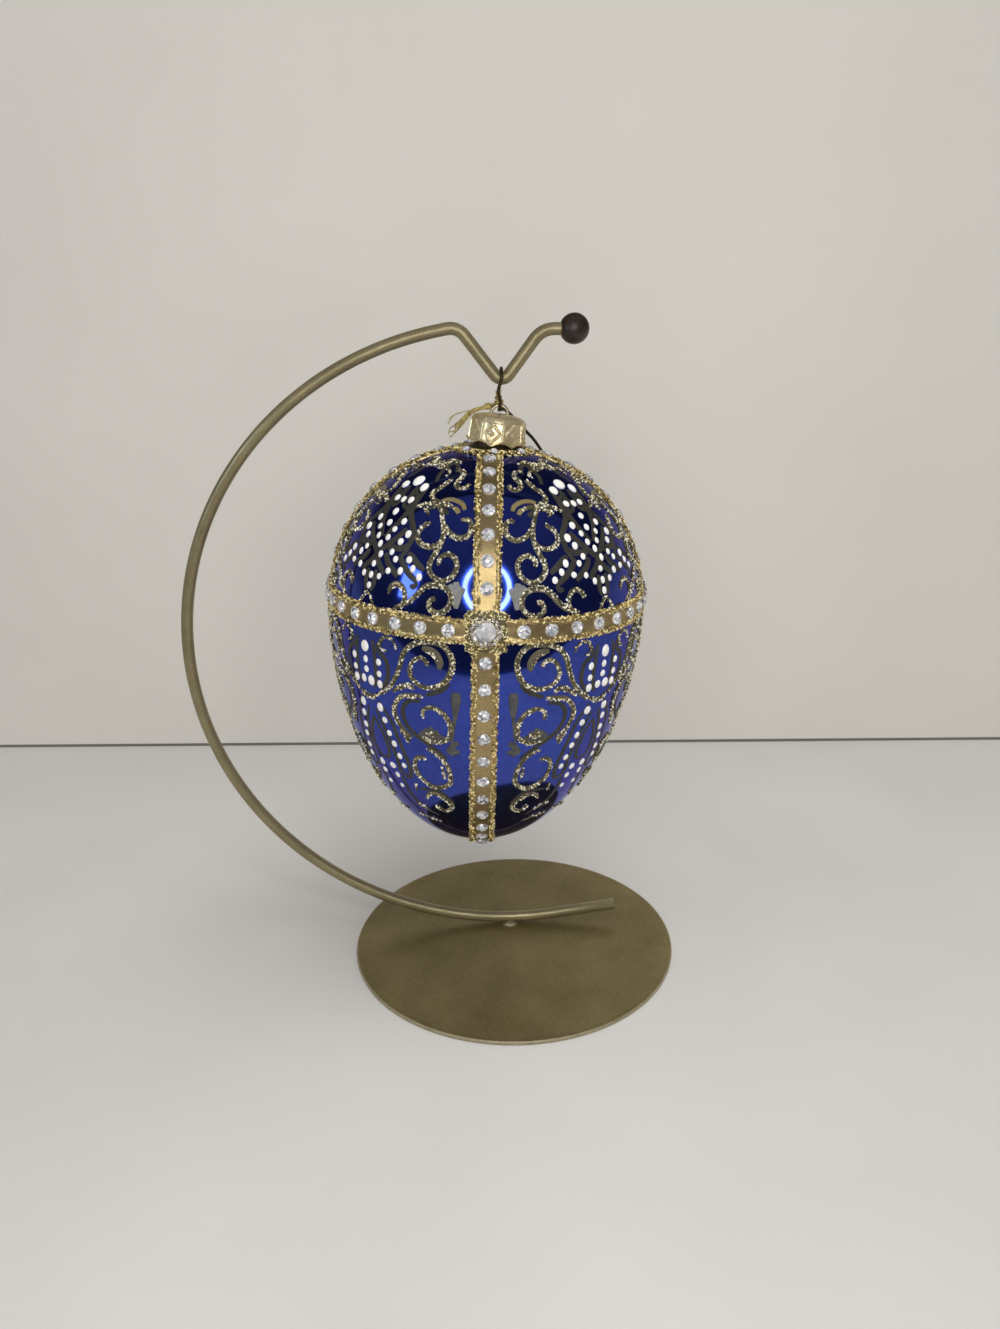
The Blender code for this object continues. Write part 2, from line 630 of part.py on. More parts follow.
def make_stand(layout, paint, wood):
    """Base, arm, weld beads and ball."""
    half = BASE_DIAMETER / 2
    inset = half - BASE_EDGE_ROUND
    outline = [(0.0, 0.0), (inset, 0.0), (half, BASE_EDGE_ROUND),
               (half, BASE_THICKNESS - BASE_EDGE_ROUND), (inset, BASE_THICKNESS),
               (0.0, BASE_THICKNESS)]
    mesh_piece("base_disc", turned_body(outline, 64), paint)

    centre = layout["centre"]
    foot_start = -math.pi / 2 + FOOT_ARC
    arc = arm_arc(centre, foot_start, ARM_ARC_END - 2 * math.pi, 46)
    foot_ahead = Vector((math.cos(FOOT_SLOPE), 0.0, math.sin(FOOT_SLOPE)))
    points = [arc[0] + foot_ahead * FOOT_RUN] + arc
    points += rounded_corner(layout["arc_end"], layout["knee"], layout["valley"],
                             ARM_KNEE_BEND, 5)
    points += rounded_corner(layout["knee"], layout["valley"], layout["shoulder"], V_BEND, 8)
    points += rounded_corner(layout["valley"], layout["shoulder"], layout["ball"], TIP_BEND, 5)
    points.append(layout["ball"] + X_AXIS * (BALL_BORE_DEPTH - SEAT_GAP))
    wire_piece("stand_arm", points, ARM_WIRE, paint, resolution=3)

    ball_shape = bmesh.new()
    bmesh.ops.create_uvsphere(ball_shape, u_segments=20, v_segments=12, radius=BALL_DIAMETER / 2)
    ball = mesh_piece("ball_finial", ball_shape, wood, location=layout["ball"])
    bore_shape = bmesh.new()
    bore_length = BALL_DIAMETER / 2 + BALL_BORE_DEPTH + 1.0 * MM
    bmesh.ops.create_cone(bore_shape, cap_ends=True, segments=16, depth=bore_length,
                          radius1=ARM_WIRE / 2 + SEAT_GAP, radius2=ARM_WIRE / 2 + SEAT_GAP)
    bmesh.ops.rotate(bore_shape, verts=bore_shape.verts,
                     matrix=Matrix.Rotation(math.pi / 2, 3, "Y"))
    bore_centre = layout["ball"] + X_AXIS * (BALL_BORE_DEPTH - bore_length / 2)
    combine(ball, helper_shape("ball_bore", bore_shape, location=bore_centre), "DIFFERENCE")

    groove_shape = bmesh.new()
    bmesh.ops.create_cone(groove_shape, cap_ends=True, segments=24, depth=WELD_LENGTH * 2,
                          radius1=ARM_WIRE / 2 + SEAT_GAP, radius2=ARM_WIRE / 2 + SEAT_GAP)
    bmesh.ops.rotate(groove_shape, verts=groove_shape.verts,
                     matrix=Matrix.Rotation(math.pi / 2, 3, "Y"))
    rest = centre - Z_AXIS * arm_radius(-math.pi / 2)
    groove = helper_shape("weld_groove", groove_shape, location=rest)
    for name, side in (("weld_bead_front", -1.0), ("weld_bead_rear", 1.0)):
        shape = bmesh.new()
        bmesh.ops.create_uvsphere(shape, u_segments=16, v_segments=8, radius=1.0)
        bmesh.ops.scale(shape, vec=(WELD_LENGTH / 2, WELD_WIDTH / 2, WELD_HEIGHT),
                        verts=shape.verts)
        bmesh.ops.bisect_plane(shape, geom=shape.verts[:] + shape.edges[:] + shape.faces[:],
                               plane_co=(0.0, 0.0, 0.0), plane_no=(0.0, 0.0, 1.0),
                               clear_inner=True)
        bmesh.ops.holes_fill(shape, edges=[e for e in shape.edges if e.is_boundary])
        offset = side * (ARM_WIRE / 2 + SEAT_GAP)
        spot = Vector((rest.x, rest.y + offset, BASE_THICKNESS + SEAT_GAP))
        combine(mesh_piece(name, shape, paint, location=spot), groove, "DIFFERENCE")


# The hook, the cap and the cord

def hook_points():
    """Middle line of the hook, about the arm's wire at the bottom of the V."""
    over = ARM_WIRE / 2 + SEAT_GAP + HOOK_ROOM + HOOK_WIRE / 2
    steps = 12
    points = []
    for i in range(steps + 1):
        a = HOOK_TIP_ANGLE + (math.pi - HOOK_TIP_ANGLE) * i / steps
        points.append(Vector((-HOOK_TOP_STEP, over * math.cos(a), over * math.sin(a))))
    seat = Vector((-HOOK_SIDE_STEP, 0.0, -HOOK_DROP))
    bends = ((-0.25, -2.1, 4.6), (0.2, -1.6, 2.4), (0.1, -0.9, 0.55), (0.0, 0.0, 0.0),
             (1.0, 1.9, 0.0), (2.4, 6.4, -1.05), (4.8, 9.3, -3.65), (7.4, 11.7, -6.55),
             (9.6, 14.5, -9.05), (11.9, 18.0, -12.45))
    shank = [points[-1]] + [seat + Vector(bend) * MM for bend in bends]
    return points[:-1] + smooth_path(shank, 4)


def make_hook(material, frame):
    """Hook over the arm, with its long tail behind the cap."""
    wire_piece("wire_hook", hook_points(), HOOK_WIRE, material, frame)


def loop_points(lift, radius):
    """Middle line of the spring: leg, loop and leg, about the point where the hook bears."""
    top = lift
    arch_centre = Vector((0.0, 0.0, top - radius))
    leg_foot = arch_centre.z - LOOP_LEG_LENGTH
    arch = arc_points(arch_centre, radius, math.pi, 0.0, 12)
    left = []
    for share_out, share_down in ((1.0, 1.0), (0.7, 0.8), (0.3, 0.45), (0.05, 0.15)):
        out = radius + LOOP_LEG_FLARE * share_out
        left.append(Vector((-out, 0.0, leg_foot - LOOP_FLARE_DROP * share_down)))
    left.append(Vector((-radius, 0.0, leg_foot)))
    right = [Vector((-p.x, p.y, p.z)) for p in reversed(left)]
    return left + arch + right


def cap_rings():
    """Rings of the crown cap from the middle of its top, down outside and up inside."""
    fractions = (0.0, 0.07, 0.13, 0.25, 0.5, 0.75, 0.87, 0.93)
    ribs = (1.0, 1.0, 0.0, 0.0, 0.0, 0.0, 0.0, 1.0)
    teeth = (1.0, 0.72, 0.48, 0.0, 1.0, 0.0, 0.48, 0.72)
    top = CAP_TOP_DIAMETER / 2
    base = CAP_BASE_DIAMETER / 2
    body = CAP_HEIGHT - CAP_TEETH - 0.7 * MM
    dome = CAP_DOME
    rows = ((top * 0.5, -dome * 0.25, 0.0, 0.0), (top - 0.9 * MM, -dome, 0.0, 0.0),
            (top - 0.2 * MM, -dome - 0.3 * MM, 0.0, 0.0), (top, -dome - 0.8 * MM, 0.0, 0.0),
            (top, -dome - 1.1 * MM, CAP_RIB, 0.0), (top * 0.4 + base * 0.6, -body, CAP_RIB, 0.0),
            (base, -CAP_HEIGHT, CAP_RIB, CAP_TEETH),
            (base - CAP_WALL, -CAP_HEIGHT, 0.0, CAP_TEETH),
            (top - CAP_WALL, -dome - 1.1 * MM, 0.0, 0.0),
            (top - 1.0 * MM, -dome - CAP_WALL, 0.0, 0.0),
            (top * 0.5, -dome * 0.25 - CAP_WALL, 0.0, 0.0))
    rings = [[Vector((0.0, 0.0, 0.0))]]
    for radius, height, rib, tooth in rows:
        ring = []
        for panel in range(CAP_PANELS):
            for fraction, rib_share, tooth_share in zip(fractions, ribs, teeth):
                share = (panel + fraction - 0.5) / CAP_PANELS
                a = 2 * math.pi * share - math.pi / 2 + CAP_TURN
                r = radius + rib * rib_share
                z = height + tooth * tooth_share
                ring.append(Vector((r * math.cos(a), r * math.sin(a), z)))
        rings.append(ring)
    rings.append([Vector((0.0, 0.0, -CAP_WALL))])
    return rings


def make_hanger(gold, steel, cord, frame):
    """Crown cap, spring loop and cord tie, all hung at the bend of the hook."""
    tilt = HANG_TILT + CAP_LEAN
    lift = HOOK_WIRE / 2 + SEAT_GAP + LOOP_WIRE / 2
    hung = joint_frame("cap_frame", frame, (-LOOP_SIDE_STEP, 0.0, 0.0), (0.0, tilt, 0.0))
    cap_top = -(HOOK_WIRE / 2 + CAP_ROOM + SEAT_GAP)
    cap = mesh_piece("cap_crown", grid_body(cap_rings()), gold, hung, (0.0, 0.0, cap_top),
                     smooth_angle=25.0)
    for name, side in (("cap_hole_left", -1.0), ("cap_hole_right", 1.0)):
        hole = bmesh.new()
        bmesh.ops.create_cone(hole, cap_ends=True, segments=12, depth=4 * CAP_WALL,
                              radius1=LOOP_WIRE / 2 + SEAT_GAP, radius2=LOOP_WIRE / 2 + SEAT_GAP)
        bmesh.ops.rotate(hole, verts=hole.verts, matrix=Matrix.Rotation(0.2, 3, "Z"))
        spot = (side * LOOP_RADIUS, 0.0, cap_top - CAP_WALL / 2)
        combine(cap, helper_shape(name, hole, hung, spot), "DIFFERENCE")
    wire_piece("cap_spring_loop", loop_points(lift, LOOP_RADIUS), LOOP_WIRE, steel, hung)

    knot_shape = bmesh.new()
    bmesh.ops.create_icosphere(knot_shape, subdivisions=3, radius=1.0)
    for vertex in knot_shape.verts:
        wave = 1.0 + 0.1 * math.sin(6.0 * vertex.co.z + 2.0 * math.atan2(vertex.co.y, vertex.co.x))
        vertex.co = Vector((vertex.co.x * KNOT_SIZE.x * wave, vertex.co.y * KNOT_SIZE.y * wave,
                            vertex.co.z * KNOT_SIZE.z))
    knot_spot = Vector((-0.1 * MM, 0.95 * MM, lift + 1.0 * MM))
    tie = mesh_piece("cord_tie", knot_shape, cord, frame, knot_spot)
    bends = ((-0.5, 1.3, 1.7), (-1.2, 1.45, 1.25), (-1.95, 1.4, 0.9), (-2.9, 1.1, 0.7),
             (-3.8, 0.8, 0.6), (-4.8, 0.5, 0.4), (-6.3, 0.0, 0.0), (-7.6, -0.5, -0.8),
             (-8.9, -1.0, -2.1), (-10.1, -1.5, -3.25), (-11.6, -2.0, -4.5), (-13.2, -2.5, -5.6))
    shares = (0.9, 0.9, 1.1, 1.55, 1.2, 0.85, 0.85, 1.0, 1.2, 1.4, 1.6, 1.8)
    path = smooth_path([Vector(bend) * MM for bend in bends], 2)
    widths = []
    for share, following in zip(shares, shares[1:]):
        widths += [CORD_WIDTH * share, CORD_WIDTH * (share + following) / 2]
    widths.append(CORD_WIDTH * shares[-1])
    combine(tie, wire_helper("cord_end", path, CORD_WIDTH, frame, 1, widths), "UNION")
    arch_centre = Vector((0.0, 0.0, lift - LOOP_RADIUS))
    groove_points = arc_points(arch_centre, LOOP_RADIUS, math.pi, 0.0, 16)
    groove_width = LOOP_WIRE + 2 * SEAT_GAP
    combine(tie, wire_helper("cord_groove", groove_points, groove_width, hung), "DIFFERENCE")


# The egg and its trim

def make_glass(glass, frame):
    """Hollow blown egg with an open neck."""
    neck = NECK_DIAMETER / 2
    outline = egg_outline(0.0, 11, 8, math.radians(79.0))
    shoulder = egg_height(neck + NECK_FILLET)
    rim = egg_height(neck) + NECK_HEIGHT
    outline.append((neck + NECK_FILLET, shoulder))
    outline.append((neck + 0.3 * NECK_FILLET, shoulder + 0.3 * NECK_FILLET))
    outline.append((neck, shoulder + NECK_FILLET))
    outline.append((neck, rim - 0.3 * GLASS_WALL))
    outline.append((neck - 0.3 * GLASS_WALL, rim))
    bore = neck - GLASS_WALL
    outline.append((bore + 0.3 * GLASS_WALL, rim))
    outline.append((bore, rim - 0.3 * GLASS_WALL))
    outline.append((bore, shoulder - 0.3 * GLASS_WALL))
    outline += egg_outline(GLASS_WALL, 8, 6, math.radians(70.0))[::-1]
    return mesh_piece("glass_egg", turned_body(outline, 40), glass, frame)


def make_collar(trim, frame):
    """Ring of trim and stones round the neck, just outside the cap."""
    inner = COLLAR_INNER_RADIUS
    outer = inner + COLLAR_WIDTH
    face = SEAT_GAP + RIM_THICKNESS
    profile = []
    for radius, height in ((inner, SEAT_GAP), (outer, SEAT_GAP), (outer, face),
                           ((inner + outer) / 2, face + 0.1 * MM), (inner, face)):
        on_glass = Vector((radius, 0.0, egg_height(radius)))
        point = on_glass + egg_normal(on_glass) * height
        profile.append((point.x, point.z))
    collar = mesh_piece("neck_collar", turned_ring(profile, 48), trim, frame)
    seats = []
    for i in range(COLLAR_STONES):
        a = 2 * math.pi * i / COLLAR_STONES - math.pi / 2
        middle = (inner + outer) / 2
        seats.append(Vector((middle * math.cos(a), middle * math.sin(a), egg_height(middle))))
    stones = stone_row("neck_collar_stones", seats, COLLAR_STONE_DIAMETER, frame)
    combine(collar, stones, "UNION")


def make_trim(trim, crystal, frame):
    """Strips from pole to pole and round the egg, with a rosette at each crossing."""
    room = ROSETTE_HALF + SEAT_GAP
    collar_edge = COLLAR_INNER_RADIUS + COLLAR_WIDTH + SEAT_GAP
    quarter = math.pi / 2
    for side, degrees in zip(SIDES, SIDE_ANGLES):
        azimuth = math.radians(degrees)
        upper = meridian_points(azimuth, quarter, collar_edge)
        trim_strip("strip_upper_" + side, upper, STRIP_WIDTH, (room, 0.0), UPPER_STONES_FROM,
                   trim, frame)
        lower = meridian_points(azimuth, -quarter, 0.0)
        trim_strip("strip_lower_" + side, lower, STRIP_WIDTH, (room, room), LOWER_STONES_FROM,
                   trim, frame)
        steps = 120
        around = [pattern_point(azimuth + quarter * i / steps, 0.0) for i in range(steps + 1)]
        trim_strip("strip_round_" + side, around, ROUND_STRIP_WIDTH, (room, room),
                   ROUND_STONES_FROM, trim, frame)
        up = (upper[1] - upper[0]).normalized()
        rosette("rosette_" + side, around[0], up, trim, frame)
        large_stone("large_stone_" + side, around[0], crystal, frame)

    pole = pattern_point(0.0, -quarter)
    rosette("rosette_bottom", pole, Vector((0.0, 1.0, 0.0)), trim, frame)
    large_stone("large_stone_bottom", pole, crystal, frame)


def make_scrolls(trim, frame):
    """Painted scrolls on both sides of every strip that runs to a pole."""
    for side, degrees in zip(SIDES, SIDE_ANGLES):
        for end, hand in (("left", 1.0), ("right", -1.0)):
            middle = degrees - hand * 45.0
            for level, lines, pole in (("upper", UPPER_SCROLLS, 1.0),
                                       ("lower", LOWER_SCROLLS, -1.0)):
                scroll(f"scroll_{level}_{side}_{end}", lines, middle, hand, pole, trim, frame)


def main():
    """Build the stand, then the ornament that hangs on it."""
    clear_scene()
    paint = finish_material("stand_paint", (0.30, 0.25, 0.14), 0.42, 0.55)
    wood = finish_material("ball_brown", (0.055, 0.028, 0.022), 0.45, 0.0)
    bronze = finish_material("hook_bronze", (0.06, 0.045, 0.03), 0.4, 0.8)
    gold = finish_material("cap_gold", (0.86, 0.72, 0.45), 0.22, 1.0)
    steel = finish_material("spring_steel", (0.62, 0.60, 0.56), 0.3, 1.0)
    cord = finish_material("cord_gold", (0.72, 0.52, 0.18), 0.4, 0.6)
    glass = finish_material("blue_glass", (0.02, 0.03, 0.32), 0.08, 0.6)
    trim = finish_material("trim_gold", (0.62, 0.48, 0.22), 0.4, 0.8)
    crystal = finish_material("clear_crystal", (0.9, 0.9, 0.95), 0.05, 0.0, 0.8)

    layout = arm_layout()
    make_stand(layout, paint, wood)
    hook_frame = joint_frame("hook_swing_axis", None, layout["hang"])
    make_hook(bronze, hook_frame)
    seat = (-HOOK_SIDE_STEP, 0.0, -HOOK_DROP)
    sway_frame = joint_frame("ornament_sway_axis", hook_frame, seat)
    make_hanger(gold, steel, cord, sway_frame)

    cap_top = HOOK_WIRE / 2 + CAP_ROOM + SEAT_GAP
    cap_depth = cap_top + CAP_HEIGHT + CAP_TEETH_ROOM
    cap_base = Matrix.Rotation(CAP_LEAN, 3, "Y") @ Vector((-LOOP_SIDE_STEP, 0.0, -cap_depth))
    offset = Vector((cap_base.x - CAP_SIDE_STEP, 0.0, cap_base.z - EGG_TOP))
    egg_spot = Matrix.Rotation(HANG_TILT, 3, "Y") @ offset
    egg_frame = joint_frame("egg_turn_axis", sway_frame, egg_spot, (0.0, HANG_TILT, 0.0))
    make_glass(glass, egg_frame)
    make_collar(trim, egg_frame)
    make_trim(trim, crystal, egg_frame)
    make_scrolls(trim, egg_frame)


main()
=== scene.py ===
"""Looks of a glass egg ornament on its wire display stand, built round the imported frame.

Metres, +Z up, the front towards -Y.  Every sub-assembly is a class that models its pieces and
dresses them; the finishes stand above them.
"""

import logging
import math
from dataclasses import dataclass
from enum import Enum
from typing import Callable, Sequence

import bmesh
import bpy
import numpy as np
from mathutils import Matrix, Vector

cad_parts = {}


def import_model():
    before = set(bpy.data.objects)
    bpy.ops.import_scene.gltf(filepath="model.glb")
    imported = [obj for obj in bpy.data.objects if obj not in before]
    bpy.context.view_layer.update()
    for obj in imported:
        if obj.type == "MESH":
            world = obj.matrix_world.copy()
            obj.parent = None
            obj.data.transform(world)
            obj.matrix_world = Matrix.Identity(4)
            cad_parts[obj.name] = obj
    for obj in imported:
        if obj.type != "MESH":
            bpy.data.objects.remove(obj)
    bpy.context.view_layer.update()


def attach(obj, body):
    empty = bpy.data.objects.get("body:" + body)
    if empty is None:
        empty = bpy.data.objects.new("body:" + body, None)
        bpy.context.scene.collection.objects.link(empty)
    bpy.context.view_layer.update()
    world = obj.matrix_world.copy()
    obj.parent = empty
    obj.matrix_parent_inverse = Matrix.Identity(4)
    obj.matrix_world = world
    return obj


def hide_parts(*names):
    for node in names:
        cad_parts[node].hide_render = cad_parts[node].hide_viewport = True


LOG = logging.getLogger("ornament")
MM = 0.001
Color = tuple[float, float, float]
Angles = Sequence[tuple[float, float]]


class Body(Enum):
    """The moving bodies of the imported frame."""

    STAND = "stand"
    HOOK = "hook"
    HANGER = "hanger"
    EGG = "egg"


class Slot(Enum):
    """The record's material slots."""

    STAND_PAINT = "stand_paint"
    BALL = "ball_brown"
    BRONZE = "hook_bronze"
    CAP = "cap_gold"
    STEEL = "spring_steel"
    CORD = "cord_gold"
    GLASS = "blue_glass"
    TRIM = "trim_gold"
    CRYSTAL = "clear_crystal"


# Node tools

class NodeSheet:
    """Short way to add and join the nodes of one tree."""

    def __init__(self, tree: bpy.types.NodeTree) -> None:
        """Keep the tree that the nodes go into."""
        self.tree = tree

    def add(self, kind: str, **settings: object) -> bpy.types.Node:
        """Add a node.

        Args:
            kind: The node's type name without its ShaderNode part.
            settings: Properties to set on it.

        Returns:
            The new node.
        """
        node = self.tree.nodes.new("ShaderNode" + kind)
        for name, value in settings.items():
            setattr(node, name, value)
        return node

    def put(self, socket: bpy.types.NodeSocket, value: object) -> None:
        """Give an input socket a value, or join another socket to it."""
        if isinstance(value, bpy.types.NodeSocket):
            self.tree.links.new(value, socket)
        elif isinstance(value, tuple) and socket.type == "RGBA":
            socket.default_value = (*value, 1.0)
        else:
            socket.default_value = value

    def fill(self, node: bpy.types.Node, values: dict[str | int, object]) -> bpy.types.Node:
        """Give a node's inputs their values or links, and return the node."""
        for name, value in values.items():
            self.put(node.inputs[name], value)
        return node

    def group(self, tree: bpy.types.NodeTree, values: dict[str, object]) -> bpy.types.Node:
        """Add a shared node group with its inputs."""
        return self.fill(self.add("Group", node_tree=tree), values)

    def math(self, operation: str, first: object, second: object = 0.0) -> bpy.types.NodeSocket:
        """Result of one operation on two values."""
        return self.fill(self.add("Math", operation=operation), {0: first, 1: second}).outputs[0]

    def vector_math(self, operation: str, **values: object) -> bpy.types.NodeSocket:
        """Result of one vector operation; its inputs are named first, second and Scale."""
        node = self.add("VectorMath", operation=operation)
        places = {"first": 0, "second": 1}
        self.fill(node, {places.get(name, name): value for name, value in values.items()})
        return node.outputs["Value" if operation == "LENGTH" else "Vector"]

    def split(self, kind: str, value: object) -> bpy.types.bpy_prop_collection:
        """The parts of a vector or colour."""
        return self.fill(self.add(kind), {0: value}).outputs

    def mix_shaders(self, factor: object, first: object, second: object) -> bpy.types.NodeSocket:
        """One shader over another."""
        return self.fill(self.add("MixShader"), {0: factor, 1: first, 2: second}).outputs[0]

    def blend(self, factor: object, first: object, second: object) -> bpy.types.NodeSocket:
        """Mix of two colours."""
        node = self.add("Mix", data_type="RGBA")
        return self.fill(node, {"Factor": factor, "A": first, "B": second}).outputs["Result"]

    def remap(self, value: object, low: object, high: object, start: object = 0.0,
              stop: object = 1.0) -> bpy.types.NodeSocket:
        """A value's range from start to stop, stretched to low and high."""
        values = {"Value": value, "From Min": start, "From Max": stop, "To Min": low,
                  "To Max": high}
        return self.fill(self.add("MapRange"), values).outputs["Result"]

    def noise(self, vector: object, scale: object, detail: float = 2.0) -> bpy.types.NodeSocket:
        """Smooth noise."""
        values = {"Vector": vector, "Scale": scale, "Detail": detail}
        return self.fill(self.add("TexNoise"), values).outputs[0]

    def cells(self, vector: object, scale: object) -> bpy.types.Node:
        """Cell texture; its Color output is one random colour a cell."""
        return self.fill(self.add("TexVoronoi"), {"Vector": vector, "Scale": scale})

    def bump(self, height: object, distance: float, normal: object = None) -> bpy.types.NodeSocket:
        """Normal of a height, over another normal if there is one."""
        values = {"Strength": 1.0, "Distance": distance, "Height": height}
        if normal is not None:
            values["Normal"] = normal
        return self.fill(self.add("Bump"), values).outputs["Normal"]


def new_material(name: str) -> tuple[bpy.types.Material, NodeSheet, bpy.types.Node]:
    """Start a material; also gives the sheet to build on and its shader."""
    material = bpy.data.materials.new(name)
    material.use_nodes = True
    return material, NodeSheet(material.node_tree), material.node_tree.nodes["Principled BSDF"]


def new_group(name: str, inputs: Sequence[tuple[str, str]],
              outputs: Sequence[tuple[str, str]]) -> tuple[NodeSheet, dict, dict]:
    """Start a shader node group.

    Args:
        name: The group's name.
        inputs: Name and socket kind of each input.
        outputs: The same of each output.

    Returns:
        The sheet to build on, the input sockets and the output sockets by name.
    """
    tree = bpy.data.node_groups.new(name, "ShaderNodeTree")
    for title, kind in inputs:
        tree.interface.new_socket(title, in_out="INPUT", socket_type="NodeSocket" + kind)
    for title, kind in outputs:
        tree.interface.new_socket(title, in_out="OUTPUT", socket_type="NodeSocket" + kind)
    start = tree.nodes.new("NodeGroupInput")
    end = tree.nodes.new("NodeGroupOutput")
    return (NodeSheet(tree), {s.name: s for s in start.outputs if s.name},
            {s.name: s for s in end.inputs if s.name})


def mottle_group() -> bpy.types.NodeTree:
    """Fine grain over broad patches: colour, roughness and height."""
    sheet, given, made = new_group(
        "mottle", (("Vector", "Vector"), ("Grain Scale", "Float"), ("Patch Scale", "Float"),
                   ("Dark", "Color"), ("Light", "Color"), ("Low Gloss", "Float"),
                   ("High Gloss", "Float")),
        (("Color", "Color"), ("Roughness", "Float"), ("Height", "Float")))
    patch = sheet.noise(given["Vector"], given["Patch Scale"], 4.0)
    grain = sheet.noise(given["Vector"], given["Grain Scale"], 3.0)
    cell = sheet.cells(given["Vector"], given["Grain Scale"])
    speck = sheet.math("MULTIPLY", cell.outputs["Color"], 0.5)
    mixed = sheet.math("ADD", sheet.math("MULTIPLY", grain, 0.6), speck)
    broad = sheet.math("MULTIPLY", patch, 0.7)
    share = sheet.math("ADD", broad, sheet.math("MULTIPLY", mixed, 0.6))
    level = sheet.remap(share, 0.0, 1.0, 0.35, 0.95)
    sheet.put(made["Color"], sheet.blend(level, given["Dark"], given["Light"]))
    sheet.put(made["Roughness"], sheet.remap(patch, given["High Gloss"], given["Low Gloss"],
                                             0.3, 0.7))
    sheet.put(made["Height"], mixed)
    return sheet.tree


def facet_group() -> bpy.types.NodeTree:
    """Facets that each face another way and have their own share of light."""
    sheet, given, made = new_group(
        "facets", (("Vector", "Vector"), ("Facet Scale", "Float"), ("Spread", "Float"),
                   ("Dark", "Color"), ("Light", "Color")),
        (("Color", "Color"), ("Normal", "Vector")))
    cell = sheet.cells(given["Vector"], given["Facet Scale"])
    lean = sheet.vector_math("SUBTRACT", first=cell.outputs["Color"], second=(0.5, 0.5, 0.5))
    lean = sheet.vector_math("SCALE", first=lean, Scale=given["Spread"])
    facing = sheet.add("NewGeometry").outputs["Normal"]
    turned = sheet.vector_math("ADD", first=facing, second=lean)
    light = sheet.split("SeparateColor", cell.outputs["Color"])[2]
    sheet.put(made["Color"], sheet.blend(light, given["Dark"], given["Light"]))
    sheet.put(made["Normal"], sheet.vector_math("NORMALIZE", first=turned))
    return sheet.tree


def glitter_group() -> bpy.types.NodeTree:
    """Colour of a glued flake: glue colour between the flakes and on the dullest ones as painted
    shade, then plain flakes and painted glints on the brightest.
    """
    sheet, given, made = new_group(
        "glitter", (("Tint", "Float"), ("Glue", "Color"), ("Plain", "Color"),
                    ("Bright", "Color")),
        (("Color", "Color"), ("Roughness", "Float")))
    plain = sheet.blend(sheet.remap(given["Tint"], 0.0, 1.0, 0.08, 0.55), given["Glue"],
                        given["Plain"])
    shine = sheet.remap(given["Tint"], 0.0, 1.0, 0.50, 0.80)
    sheet.put(made["Color"], sheet.blend(shine, plain, given["Bright"]))
    sheet.put(made["Roughness"], sheet.remap(given["Tint"], 0.5, 0.25))
    return sheet.tree


@dataclass(frozen=True)
class Finish:
    """A surface with grain and patches; subclasses add their own relief."""

    name: str
    dark: Color
    light: Color
    grain: float
    patch: float
    gloss: tuple[float, float]
    metallic: float = 0.0
    bump: float = 0.0
    coat: float = 0.0
    sheen: float = 0.0

    def relief(self, sheet: NodeSheet, place: bpy.types.NodeSocket,
               normal: object) -> bpy.types.NodeSocket:
        """Extra relief on top of the grain; none here."""
        return normal

    def make(self, groups: dict[str, bpy.types.NodeTree]) -> bpy.types.Material:
        """Build the material.

        Args:
            groups: The shared node groups by name.

        Returns:
            The new material.
        """
        material, sheet, shader = new_material(self.name)
        place = sheet.add("TexCoord").outputs["Object"]
        mottle = sheet.group(groups["mottle"], {
            "Vector": place, "Grain Scale": 1.0 / self.grain, "Patch Scale": 1.0 / self.patch,
            "Dark": self.dark, "Light": self.light, "Low Gloss": self.gloss[0],
            "High Gloss": self.gloss[1]}).outputs
        sheet.fill(shader, {"Metallic": self.metallic, "Coat Weight": self.coat,
                            "Coat Roughness": 0.1, "Sheen Weight": self.sheen,
                            "Base Color": mottle["Color"], "Roughness": mottle["Roughness"]})
        normal = sheet.bump(mottle["Height"], self.bump) if self.bump else None
        normal = self.relief(sheet, place, normal)
        if normal is not None:
            sheet.put(shader.inputs["Normal"], normal)
        return material


@dataclass(frozen=True)
class FoilFinish(Finish):
    """Pressed metal leaf with soft creases."""

    crease: float = 1.5 * MM
    crease_depth: float = 0.1 * MM

    def relief(self, sheet: NodeSheet, place: bpy.types.NodeSocket,
               normal: object) -> bpy.types.NodeSocket:
        """Creases between flat patches of the leaf."""
        cell = sheet.cells(place, 1.0 / self.crease)
        soft = sheet.noise(place, 0.6 / self.crease, 3.0)
        height = sheet.math("ADD", cell.outputs["Distance"], soft)
        return sheet.bump(height, self.crease_depth, normal)


@dataclass(frozen=True)
class ThreadFinish(Finish):
    """Twisted metal thread, on its own strands."""

    pitch: float = 0.5 * MM

    def relief(self, sheet: NodeSheet, place: bpy.types.NodeSocket,
               normal: object) -> bpy.types.NodeSocket:
        """Slanting turns of the thread."""
        wave = sheet.fill(sheet.add("TexWave", bands_direction="DIAGONAL"),
                          {"Vector": place, "Scale": 0.3 / self.pitch})
        return sheet.bump(wave.outputs["Color"], 0.1 * MM, normal)


@dataclass(frozen=True)
class GlitterFinish:
    """Glued glitter; each flake carries its painted share of light, from shade to glint, as the
    attribute tint.
    """

    name: str
    glue: Color
    plain: Color
    bright: Color
    metallic: float

    def make(self, groups: dict[str, bpy.types.NodeTree]) -> bpy.types.Material:
        """Build the material from the shared glitter group."""
        material, sheet, shader = new_material(self.name)
        tint = sheet.add("Attribute", attribute_name="tint").outputs["Fac"]
        flakes = sheet.group(groups["glitter"], {"Tint": tint, "Glue": self.glue,
                                                 "Plain": self.plain, "Bright": self.bright})
        sheet.fill(shader, {"Metallic": self.metallic, "Base Color": flakes.outputs["Color"],
                            "Roughness": flakes.outputs["Roughness"]})
        return material


